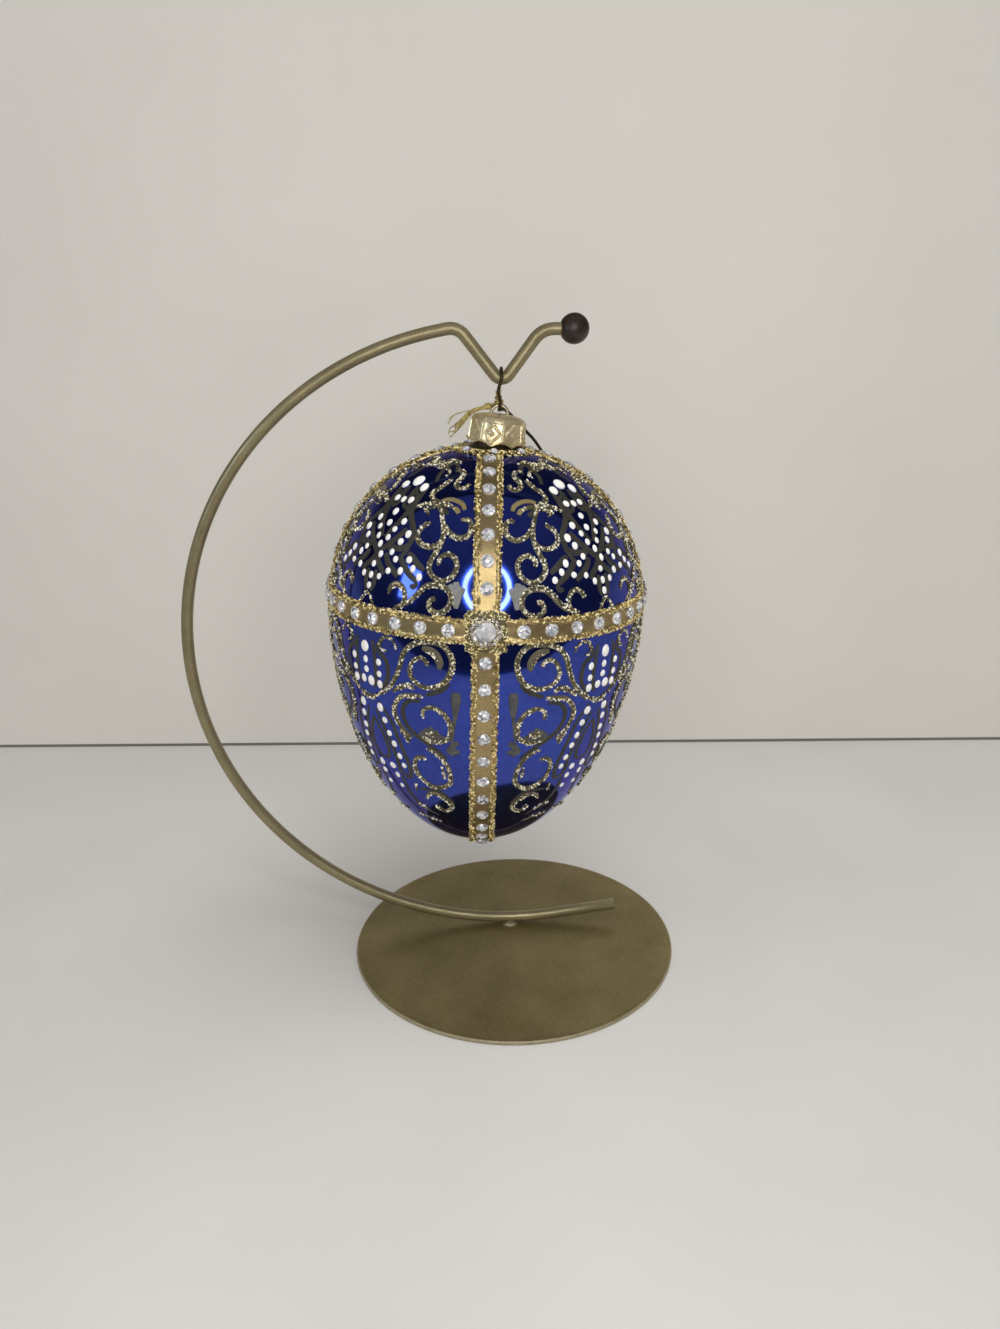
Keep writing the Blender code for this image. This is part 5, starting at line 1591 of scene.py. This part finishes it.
UPPER = Panel(
    "upper",
    (
        (Stroke.LINE, ((-22.2, 60.6), (-26.1, 60.0), (-28.3, 57.0), (-26.8, 54.5), (-26.4, 52.3),
            (-29.1, 50.6), (-32.4, 50.8), (-33.8, 52.7))),
        (Stroke.LINE, ((-19.5, 65.3), (-14.5, 66.0), (-8.6, 66.3), (-5.4, 62.9), (-1.6, 61.7))),
        (Stroke.FINE, ((-16.5, 56.1), (-17.2, 58.0), (-14.7, 60.1), (-10.0, 60.5), (-3.1, 60.9))),
        (Stroke.GLITTER_LEAF, ((-0.5, 61.7), (2.5, 64.2), (7.7, 63.4), (10.5, 61.0))),
        (Stroke.LINE, ((-21.7, 54.9), (-19.8, 52.3), (-17.6, 49.8), (-15.7, 48.0), (-15.3, 45.7),
            (-17.7, 44.0), (-20.7, 43.5))),
        (Stroke.LOBE, ((-21.8, 44.2), (-24.4, 45.0), (-27.3, 45.1), (-30.7, 44.3), (-33.1, 43.0),
            (-34.2, 41.1))),
        (Stroke.LOBE, ((-28.9, 41.8), (-30.6, 41.0), (-31.8, 39.6))),
        (Stroke.SHADE, ((-22.9, 41.6), (-25.1, 40.3), (-27.4, 39.0))),
        (Stroke.GLITTER_LEAF, ((-20.5, 42.7), (-24.1, 42.6), (-27.0, 42.2), (-29.6, 41.4))),
        (Stroke.GLITTER_LEAF, ((-21.4, 41.9), (-17.1, 42.3), (-13.0, 41.8), (-10.4, 40.1))),
        (Stroke.FINE, ((-20.5, 41.2), (-17.0, 40.3), (-15.2, 39.9), (-18.6, 38.2))),
        (Stroke.LINE, ((-21.0, 42.3), (-24.0, 39.1), (-25.9, 35.7), (-27.0, 32.8), (-27.3, 29.6),
            (-26.6, 26.8), (-25.5, 24.2), (-24.3, 21.6), (-24.3, 18.9), (-26.1, 16.7),
            (-29.1, 15.5), (-31.8, 16.3), (-33.8, 18.5), (-34.3, 21.1), (-33.3, 23.4),
            (-30.7, 24.6), (-28.6, 23.8), (-27.5, 22.2), (-28.0, 20.9))),
        (Stroke.LINE, ((-27.3, 34.3), (-29.0, 32.1), (-31.7, 30.5), (-34.5, 30.1), (-36.9, 31.2),
            (-38.0, 33.3), (-37.7, 35.5), (-36.2, 37.2), (-34.0, 36.9))),
        (Stroke.LINE, ((-27.3, 30.3), (-26.0, 28.0), (-23.0, 26.6), (-19.5, 27.2), (-17.0, 29.2),
            (-17.0, 32.0), (-18.5, 34.1), (-20.6, 35.3))),
        (Stroke.GREY_LOBE, ((-34.9, 7.0), (-35.3, 10.4), (-37.0, 13.9))),
        (Stroke.GREY_LOBE, ((-34.8, 7.6), (-34.3, 11.6), (-32.2, 14.6))),
        (Stroke.GREY_LOBE, ((-34.9, 8.6), (-34.9, 12.4), (-34.4, 15.6))),
        (Stroke.LINE, ((-13.0, 4.7), (-17.6, 6.9), (-20.1, 8.9), (-22.0, 11.1), (-24.2, 13.1),
            (-27.1, 13.9), (-29.9, 13.6), (-32.2, 12.3), (-33.3, 10.2), (-33.0, 7.8),
            (-31.5, 5.8), (-29.2, 4.8), (-26.9, 5.5), (-25.7, 7.0), (-26.3, 8.8), (-28.0, 9.4))),
        (Stroke.LINE, ((-15.4, 5.0), (-16.7, 7.6), (-16.6, 9.8), (-15.0, 11.8), (-12.7, 12.4),
            (-10.7, 11.2), (-9.9, 9.3))),
        (Stroke.NET, ((-9.6, 50.0), (-8.6, 43.4), (-9.0, 38.2), (-12.0, 34.1), (-14.4, 30.6),
            (-14.1, 26.6), (-12.5, 22.5))),
        (Stroke.NET, ((-3.6, 49.2), (-3.0, 46.0), (-6.8, 39.6), (-5.3, 34.4), (-2.9, 30.6),
            (-0.8, 27.6))),
        (Stroke.NET, ((-10.4, 32.0), (-8.4, 29.3), (-5.6, 26.4), (-2.4, 23.8), (0.2, 21.4))),
        (Stroke.NET, ((-14.4, 26.4), (-11.0, 24.6), (-8.2, 24.6), (-4.8, 23.9))),
        (Stroke.NET, ((-11.8, 22.9), (-12.2, 21.2), (-14.2, 19.0), (-17.0, 16.6), (-20.4, 14.4))),
        (Stroke.NET, ((-4.6, 22.3), (-6.6, 19.4), (-9.9, 17.0), (-12.2, 15.2))),
        (Stroke.NET, ((0.4, 22.0), (-1.6, 19.1), (-4.2, 16.9), (-6.0, 15.1))),
        (Stroke.NET, ((-14.6, 23.6), (-16.9, 22.4), (-19.6, 20.3), (-22.4, 18.4))),
        (Stroke.NET, ((-1.9, 16.0), (-2.2, 13.4), (-2.0, 11.0), (-1.0, 8.8))),
        (Stroke.SHADE, ((-20.4, 14.4), (-19.6, 12.6), (-18.0, 13.0))),
        (Stroke.SHADE, ((-3.6, 47.6), (-7.4, 44.6), (-7.2, 40.0), (-2.6, 40.4), (-1.6, 44.8))),
        (Stroke.SHADE, ((-21.9, 59.0), (-19.0, 63.2), (-12.6, 64.6), (-10.6, 57.6),
            (-12.8, 52.6))),
    ),
    ((Stroke.FINE, ((-4.4, 2.9), (0.0, 8.0), (4.4, 2.9))),),
    ((0.0, 52.0, 1.5), (7.6, 49.3, 1.15), (4.9, 43.0, 0.85), (0.0, 42.8, 0.8), (0.0, 37.5, 0.85),
     (7.6, 34.3, 0.85), (0.0, 33.0, 0.8), (4.5, 31.0, 0.75), (12.2, 30.0, 0.9), (2.8, 27.7, 0.7),
     (9.8, 27.0, 0.8), (0.0, 25.0, 0.75), (7.3, 23.0, 0.75), (9.9, 20.8, 0.75), (15.8, 21.3, 0.85),
     (2.1, 21.6, 0.75), (18.0, 18.5, 0.75), (13.1, 17.2, 0.75), (0.0, 17.9, 0.75),
     (7.8, 16.5, 0.75), (21.0, 16.0, 0.75), (4.1, 14.1, 0.7), (0.0, 14.0, 0.75), (0.0, 10.4, 0.75)),
)

LOWER = Panel(
    "lower",
    (
        (Stroke.LINE, ((-26.2, -12.2), (-25.1, -10.5), (-22.8, -10.2), (-20.5, -12.1),
            (-19.5, -15.1), (-20.5, -17.7), (-23.1, -19.4), (-26.5, -19.8), (-30.1, -18.6),
            (-32.8, -16.3), (-34.3, -13.2), (-34.5, -10.1), (-33.5, -7.3), (-31.6, -5.4),
            (-29.1, -4.5), (-25.7, -4.6), (-22.2, -5.4), (-19.4, -7.1), (-17.1, -10.2),
            (-15.8, -14.1), (-13.8, -18.3), (-10.6, -22.2), (-5.5, -25.6))),
        (Stroke.LEAF, ((-23.9, -6.9), (-27.0, -7.4), (-29.0, -8.9), (-30.1, -11.0),
            (-29.9, -13.3))),
        (Stroke.FINE, ((-25.6, -7.8), (-27.4, -8.4), (-28.8, -9.8), (-29.4, -11.6))),
        (Stroke.GLITTER_LEAF, ((-20.9, -21.0), (-18.7, -20.1), (-15.6, -21.1), (-11.7, -23.4))),
        (Stroke.SHADE, ((-33.1, -17.6), (-31.2, -19.8), (-28.0, -21.4), (-24.9, -22.6))),
        (Stroke.LINE, ((-23.5, -23.3), (-19.4, -23.7), (-15.7, -24.4), (-12.6, -27.0),
            (-11.4, -29.9), (-12.2, -33.0), (-14.2, -35.5), (-17.3, -37.6))),
        (Stroke.GLITTER_LEAF, ((-13.3, -36.0), (-15.1, -37.4), (-15.4, -39.4))),
        (Stroke.LINE, ((-23.2, -30.2), (-23.2, -28.0), (-25.4, -26.7), (-27.9, -26.7),
            (-30.5, -28.0), (-32.3, -30.2), (-33.0, -32.9), (-32.6, -35.4), (-30.4, -37.2),
            (-27.6, -37.9), (-24.7, -37.7), (-22.5, -36.7))),
        (Stroke.GLITTER_LEAF, ((-23.9, -34.5), (-25.7, -35.5), (-28.4, -35.0))),
        (Stroke.DROP, ((-35.4, -20.6), (-35.3, -22.8), (-35.2, -25.2), (-35.0, -28.0),
            (-34.5, -31.3), (-34.0, -34.8), (-33.0, -38.2), (-31.5, -41.2))),
        (Stroke.TUFT, ((-31.8, -40.9), (-33.4, -38.9), (-35.6, -37.2))),
        (Stroke.TUFT, ((-32.2, -41.4), (-34.0, -40.8), (-36.0, -40.2))),
        (Stroke.TUFT, ((-21.2, -37.0), (-22.0, -36.0), (-22.6, -34.8))),
        (Stroke.TUFT, ((-23.2, -37.3), (-23.6, -35.6), (-24.1, -33.8))),
        (Stroke.TUFT, ((-25.3, -37.5), (-25.5, -35.4), (-25.9, -33.0))),
        (Stroke.TUFT, ((-27.4, -37.3), (-27.5, -35.7), (-27.8, -33.9))),
        (Stroke.TUFT, ((-29.2, -36.9), (-29.3, -36.0), (-29.5, -35.2))),
        (Stroke.LINE, ((-23.3, -40.5), (-26.6, -41.9), (-29.1, -43.6), (-30.7, -45.8),
            (-31.4, -48.5), (-31.1, -51.1), (-28.5, -52.7), (-24.5, -53.5), (-20.5, -52.7),
            (-17.2, -50.7), (-16.1, -48.1), (-16.9, -45.6), (-19.2, -44.1), (-21.8, -44.2))),
        (Stroke.FINE, ((-28.6, -46.0), (-28.9, -49.6))),
        (Stroke.FINE, ((-13.8, -53.3), (-13.0, -55.8))),
        (Stroke.LINE, ((-17.2, -58.0), (-19.6, -56.3), (-23.2, -55.8), (-26.6, -56.9),
            (-29.4, -58.5), (-29.3, -60.3), (-25.7, -61.8), (-23.1, -61.4), (-21.8, -60.0))),
        (Stroke.FINE, ((-8.2, -60.8), (-12.4, -61.2), (-15.9, -62.2))),
        (Stroke.FINE, ((-20.0, -66.8), (-11.5, -65.7), (-4.0, -65.4))),
        (Stroke.FINE, ((-14.3, -8.6), (-13.2, -6.5), (-11.0, -5.3), (-8.4, -6.1), (-7.2, -8.1),
            (-8.1, -9.8), (-9.8, -10.1))),
        (Stroke.SHADE, ((-9.6, -5.0), (-6.0, -10.0), (-9.8, -13.4), (-10.2, -19.0),
            (-6.4, -23.9))),
        (Stroke.SHADE, ((-3.9, -7.4), (-4.6, -12.5), (-4.8, -18.5), (-3.4, -23.8))),
        (Stroke.SHADE, ((-22.6, -24.9), (-18.0, -25.6), (-15.3, -28.8), (-16.0, -33.5),
            (-20.0, -37.0), (-25.0, -39.5), (-31.0, -43.0))),
        (Stroke.SHADE, ((-4.2, -28.0), (-8.8, -33.4), (-11.2, -40.4), (-13.2, -47.6),
            (-11.8, -51.6), (-7.6, -50.6), (-7.4, -45.0), (-5.0, -37.4), (-2.0, -31.0))),
        (Stroke.SHADE, ((0.0, -34.0), (-3.0, -38.8), (-4.2, -43.8), (-2.4, -46.8), (0.0, -47.2))),
        (Stroke.SHADE, ((-7.2, -52.2), (-7.4, -57.4), (-12.0, -61.6), (-20.0, -64.2))),
        (Stroke.SHADE, ((-15.0, -55.0), (-19.0, -54.8), (-25.4, -54.9), (-31.0, -58.3))),
    ),
    ((Stroke.GLITTER_LEAF, ((-4.6, -25.8), (-1.6, -27.2), (1.6, -27.2), (4.6, -25.8))),),
    ((0.0, -10.3, 1.25), (0.0, -14.8, 0.85), (0.0, -18.2, 0.85), (-1.9, -21.6, 0.9),
     (2.1, -21.7, 1.15), (6.4, -14.6, 0.85), (6.3, -18.6, 0.8), (6.2, -22.1, 0.95),
     (4.7, -30.1, 1.05), (5.9, -34.1, 0.85), (6.9, -38.2, 0.85), (8.2, -41.4, 0.8),
     (9.4, -45.2, 0.85), (10.3, -48.1, 0.75), (3.4, -49.3, 0.95), (4.2, -52.2, 0.8),
     (4.1, -55.7, 0.7)),
)

CORNERS = (("front_right", -45.0, ("front_right", "right_left")),
           ("back_right", 45.0, ("right_right", "back_left")),
           ("back_left", 135.0, ("back_right", "left_left")),
           ("front_left", -135.0, ("left_right", "front_left")))


@dataclass
class Scrollwork:
    """Painted scrolls, leaves and enamel dots between the strips."""

    form: EggForm
    paints: Paintbox
    grain: bpy.types.Object
    grains: float = 3.3e6

    def runs(self, panel: Panel, azimuth: float) -> dict[Stroke, list[Wire]]:
        """All strokes of a panel as wires on the glass, sorted by their kind."""
        found: dict[Stroke, list[Wire]] = {}
        draws = np.random.default_rng(int(azimuth) + 400)
        both = [(kind, points, side) for kind, points in panel.strokes for side in (1.0, -1.0)]
        both += [(kind, points, 1.0) for kind, points in panel.middle_strokes]
        for kind, points, side in both:
            angles = smooth_path(np.array(points) * (side, 1.0), 10) + (azimuth, 0.0)
            line = even_path(self.form.on_glass(angles), 0.55 * MM)
            share = np.linspace(0.0, 1.0, len(line))
            crowd = 0.5 ** 0.3
            ease = np.where(share < 0.5, share ** 0.7 * crowd, 1 - (1 - share) ** 0.7 * crowd)
            found.setdefault(kind, []).append(Wire(line, kind.radii(ease)))
            if kind is Stroke.LINE:
                start, stop = draws.uniform(-0.35, 0.35, (2, 3)) * MM
                blend = share[:, None]
                under = Wire(line + start * (1 - blend) + stop * blend, Stroke.PRINT.radii(ease))
                found.setdefault(Stroke.PRINT, []).append(under)
        return found

    def dot_spots(self, panel: Panel, azimuth: float) -> list[tuple[np.ndarray, float]]:
        """Place and radius of each enamel dot of a panel."""
        spots = []
        for across, elevation, radius in panel.dots:
            pair = {across, -across} if abs(across) > 2.5 else {across}
            for signed in sorted(pair):
                point = self.form.on_glass(np.array(((azimuth + signed, elevation),)))[0]
                spots.append((point, radius * MM))
        return spots

    def make_dots(self, name: str, spots: list[tuple[np.ndarray, float]],
                  seed: int) -> bpy.types.Object:
        """Low enamel drops, a little uneven."""
        pattern = primitive(bpy.ops.mesh.primitive_uv_sphere_add, "dot_pattern", segments=16,
                            ring_count=8, radius=1.0)
        draws = np.random.default_rng(seed)
        frames = []
        for point, radius in spots:
            normal = Vector(self.form.foot(point[None])[1][0])
            side = Vector((-normal.y, normal.x, 0.0)).normalized()
            up = normal.cross(side)
            wide, tall = draws.uniform(0.88, 1.05), draws.uniform(1.0, 1.25)
            axes = (side * radius * wide, up * radius * tall, normal * radius * 0.45)
            turn = Matrix(axes).transposed().to_4x4()
            frames.append(Matrix.Translation(Vector(point)) @ turn)
        dots = join_copies(name, pattern, frames)
        bpy.data.objects.remove(pattern)
        tidy_mesh(dots, 60.0)
        return dots

    def make_scrolls(self, name: str, panel: Panel, azimuth: float,
                     seed: int) -> bpy.types.Object:
        """Every painted line of a panel, pressed onto the glass, with its glitter."""
        parts = []
        for kind, wires in self.runs(panel, azimuth).items():
            part = self.paints.dress(draw_wires("lines", wires, 2), kind.paint)
            self.form.press(part, kind.flatness, kind.lift)
            parts.append(part)
            if kind.paint == "pale_glitter":
                grains = sprinkle("grains", part, self.grain, self.grains, seed)
                parts.append(self.paints.dress(grains, kind.paint))
        return join(parts, name)

    def build(self) -> None:
        """Draw, dress and place every panel's scrolls and dots."""
        panels = [(panel, *corner) for panel in (UPPER, LOWER) for corner in CORNERS]
        for seed, (panel, corner, azimuth, halves) in enumerate(panels, 101):
            where = f"{panel.name}_{corner}"
            scrolls = self.make_scrolls("scrolls_" + where, panel, azimuth, seed)
            mount(scrolls, Slot.TRIM, *(f"scroll_{panel.name}_{half}" for half in halves))
            dots = self.make_dots("dots_" + where, self.dot_spots(panel, azimuth), seed)
            mount(self.paints.dress(dots, "white_enamel"), Slot.TRIM)


# The studio

class Studio:
    """Pale table and wall, soft light and the camera."""

    TABLE_FRONT = -0.215
    TABLE_BACK = 0.2
    WALL = 0.145
    WALL_TURN = math.radians(-2.3)
    SPOT = Vector((-8.91, -248.65, 167.80)) * MM
    PITCH, YAW, ROLL = 0.32438, 0.02428, -0.014
    RING_AIM = Vector((-6.0, -29.0, 115.0)) * MM
    RING_RISE = math.radians(21.0)
    RING_DISTANCE = 0.235
    WINDOW_RADIANCE = 6.0

    def surface(self, name: str, color: Color, light: Color,
                shade: bool = False) -> bpy.types.Material:
        """Matt surface with faint patches.

        Args:
            name: The material's name.
            color: Its darker colour.
            light: Its lighter colour.
            shade: Whether reflections see its upper part dark, as an unlit room, and views
                from behind look through it.

        Returns:
            The new material.
        """
        material, sheet, shader = new_material(name)
        place = sheet.add("TexCoord").outputs["Object"]
        soft = sheet.noise(place, 9.0, 3.0)
        tint = sheet.blend(sheet.remap(soft, 0.0, 1.0, 0.3, 0.7), color, light)
        if shade:
            rise = sheet.remap(sheet.split("SeparateXYZ", place)["Z"], 0.0, 1.0, 0.10, 0.24)
            dark = sheet.math("MULTIPLY", rise, sheet.add("LightPath").outputs["Is Glossy Ray"])
            tint = sheet.blend(dark, tint, (0.055, 0.055, 0.065))
            seen = sheet.mix_shaders(sheet.add("NewGeometry").outputs["Backfacing"],
                                     shader.outputs[0], sheet.add("BsdfTransparent").outputs[0])
            sheet.put(material.node_tree.nodes["Material Output"].inputs["Surface"], seen)
        sheet.fill(shader, {"Base Color": tint, "Roughness": 0.75})
        return material

    def board(self, name: str, spot: Sequence[float], turn: Sequence[float],
              size: tuple[float, float], material: bpy.types.Material) -> bpy.types.Object:
        """Flat board of a size, turned and put in its place."""
        clear_selection()
        bpy.ops.mesh.primitive_plane_add(size=1.0, location=spot, rotation=turn)
        piece = named(name)
        piece.scale = (*size, 1.0)
        settle(piece)
        piece.data.materials.append(material)
        return piece

    def stage(self) -> None:
        """Table, wall and a dark strip of painted shadow in the seam between them."""
        flat = (0.0, 0.0, 0.0)
        upright = (math.pi / 2, 0.0, self.WALL_TURN)
        middle = (self.TABLE_FRONT + self.TABLE_BACK) / 2
        table = self.board("table", (0.0, middle, 0.0), flat,
                           (2.0, self.TABLE_BACK - self.TABLE_FRONT),
                           self.surface("table_white", (0.56, 0.55, 0.535), (0.62, 0.61, 0.595)))
        wall = self.board("wall", (0.0, self.WALL, 0.97), upright, (2.0, 2.0),
                          self.surface("wall_white", (0.76, 0.73, 0.685), (0.80, 0.77, 0.725),
                                       shade=True))
        # Thin dark board along the foot of the wall: painted shadow in the seam.
        seam = self.board("seam", (0.0, self.WALL - 0.4 * MM, 0.6 * MM), upright,
                          (2.0, 1.2 * MM),
                          self.surface("seam_shadow", (0.16, 0.155, 0.145), (0.20, 0.195, 0.185),
                                       shade=True))

    def lamp(self, name: str, spot: Sequence[float], aim: Sequence[float],
             size: tuple[float, float], power: float, color: Color) -> bpy.types.Object:
        """Soft rectangular lamp aimed at a point."""
        light = bpy.data.lights.new(name, "AREA")
        light.shape = "RECTANGLE"
        light.size, light.size_y = size
        light.energy = power
        light.color = color
        lamp = add_object(name, light)
        lamp.location = spot
        lamp.rotation_euler = (Vector(aim) - Vector(spot)).to_track_quat("-Z", "Y").to_euler()
        return lamp

    def ring_lamp(self, radiance: float, middle: float, band: float) -> None:
        """Ring of light round the camera, as one square lamp that shines in a ring.

        Args:
            radiance: Brightness of the ring.
            middle: Radius of the ring's middle, in metres.
            band: Width of the ring, in metres.
        """
        away = Vector((0.0, -math.cos(self.RING_RISE), math.sin(self.RING_RISE)))
        side = 2 * (middle + band)
        lamp = self.lamp("ring_lamp", self.RING_AIM + self.RING_DISTANCE * away, self.RING_AIM,
                         (side, side), radiance * math.pi * side ** 2, (1.0, 0.985, 0.95))
        lamp.visible_camera = False
        light = lamp.data
        light.use_nodes = True
        sheet = NodeSheet(light.node_tree)
        glow = next(n for n in light.node_tree.nodes if n.type == "EMISSION")
        place = sheet.add("NewGeometry").outputs["Parametric"]
        centred = sheet.vector_math("SUBTRACT", first=place, second=(0.5, 0.5, 0.0))
        reach = sheet.vector_math("LENGTH", first=centred)
        off = sheet.math("ABSOLUTE", sheet.math("SUBTRACT", reach, middle / side))
        sheet.put(glow.inputs["Strength"], sheet.math("LESS_THAN", off, band / side / 2))

    def world(self) -> None:
        """Plain level light; reflections see a dim room with a pale ceiling."""
        world = bpy.data.worlds.new("room")
        bpy.context.scene.world = world
        world.use_nodes = True
        sheet = NodeSheet(world.node_tree)
        plain = sheet.fill(world.node_tree.nodes["Background"],
                           {"Color": (1.0, 0.985, 0.96), "Strength": 0.50})
        direction = sheet.add("TexCoord").outputs["Generated"]
        rise = sheet.remap(sheet.split("SeparateXYZ", direction)["Z"], 0.0, 1.0, 0.15, 0.95)
        tone = sheet.blend(rise, (0.07, 0.07, 0.08), (0.20, 0.20, 0.23))
        room = sheet.fill(sheet.add("Background"), {"Color": tone, "Strength": 1.0})
        seen = sheet.mix_shaders(sheet.add("LightPath").outputs["Is Glossy Ray"],
                                 plain.outputs[0], room.outputs[0])
        sheet.put(world.node_tree.nodes["World Output"].inputs["Surface"], seen)

    def camera(self) -> None:
        """Camera where the photograph was taken from."""
        data = bpy.data.cameras.new("camera")
        data.sensor_fit = "HORIZONTAL"
        data.sensor_width = 36.0
        data.lens = 36.0
        data.clip_start = 0.01
        camera = add_object("camera", data)
        level = math.cos(self.PITCH)
        ahead = Vector((math.sin(self.YAW) * level, math.cos(self.YAW) * level,
                        -math.sin(self.PITCH)))
        right = Vector((math.cos(self.YAW), -math.sin(self.YAW), 0.0))
        up = right.cross(ahead)
        across = right * math.cos(self.ROLL) + up * math.sin(self.ROLL)
        upward = up * math.cos(self.ROLL) - right * math.sin(self.ROLL)
        turn = Matrix((across, upward, -ahead)).transposed().to_4x4()
        camera.matrix_world = Matrix.Translation(self.SPOT) @ turn
        bpy.context.scene.camera = camera

    def build(self) -> None:
        """Set up stage, light and camera."""
        self.stage()
        self.world()
        self.ring_lamp(radiance=15.5, middle=0.070, band=0.016)
        ceiling = self.lamp("ceiling", (0.25, -0.02, 1.1), (0.05, 0.03, 0.05), (0.9, 0.7), 7.0,
                            (1.0, 0.99, 0.97))
        ceiling.visible_glossy = False
        for name, spot, aim, size in (
                ("window_left", (-0.272, -0.166, 0.205), (-0.023, -0.026, 0.113), (0.075, 0.10)),
                ("window_right", (0.263, 0.172, 0.105), (0.029, -0.011, 0.105), (0.06, 0.06))):
            power = self.WINDOW_RADIANCE * math.pi * size[0] * size[1]
            window = self.lamp(name, spot, aim, size, power, (0.62, 0.80, 1.0))
            window.visible_camera = False
            window.visible_diffuse = False
        self.camera()
        bpy.context.scene.view_settings.view_transform = "Standard"


def corners(pair: tuple[Vector, Vector]) -> list[list[float]]:
    """A box as plain lists."""
    return [[float(v) for v in corner] for corner in pair]


def main() -> None:
    """Load the frame and build every sub-assembly round it."""
    logging.basicConfig(level=logging.INFO, format="%(message)s")
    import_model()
    paints = Paintbox()
    Studio().build()
    DisplayStand().build(paints)
    WireHook().build(paints)
    Hanger().build(paints)
    form = EggForm()
    GlassEgg(form).build(paints)
    grain = make_grain()
    Trim(form, paints, grain).build()
    Scrollwork(form, paints, grain).build()
    bpy.data.objects.remove(grain)


if __name__ == "__main__":
    main()
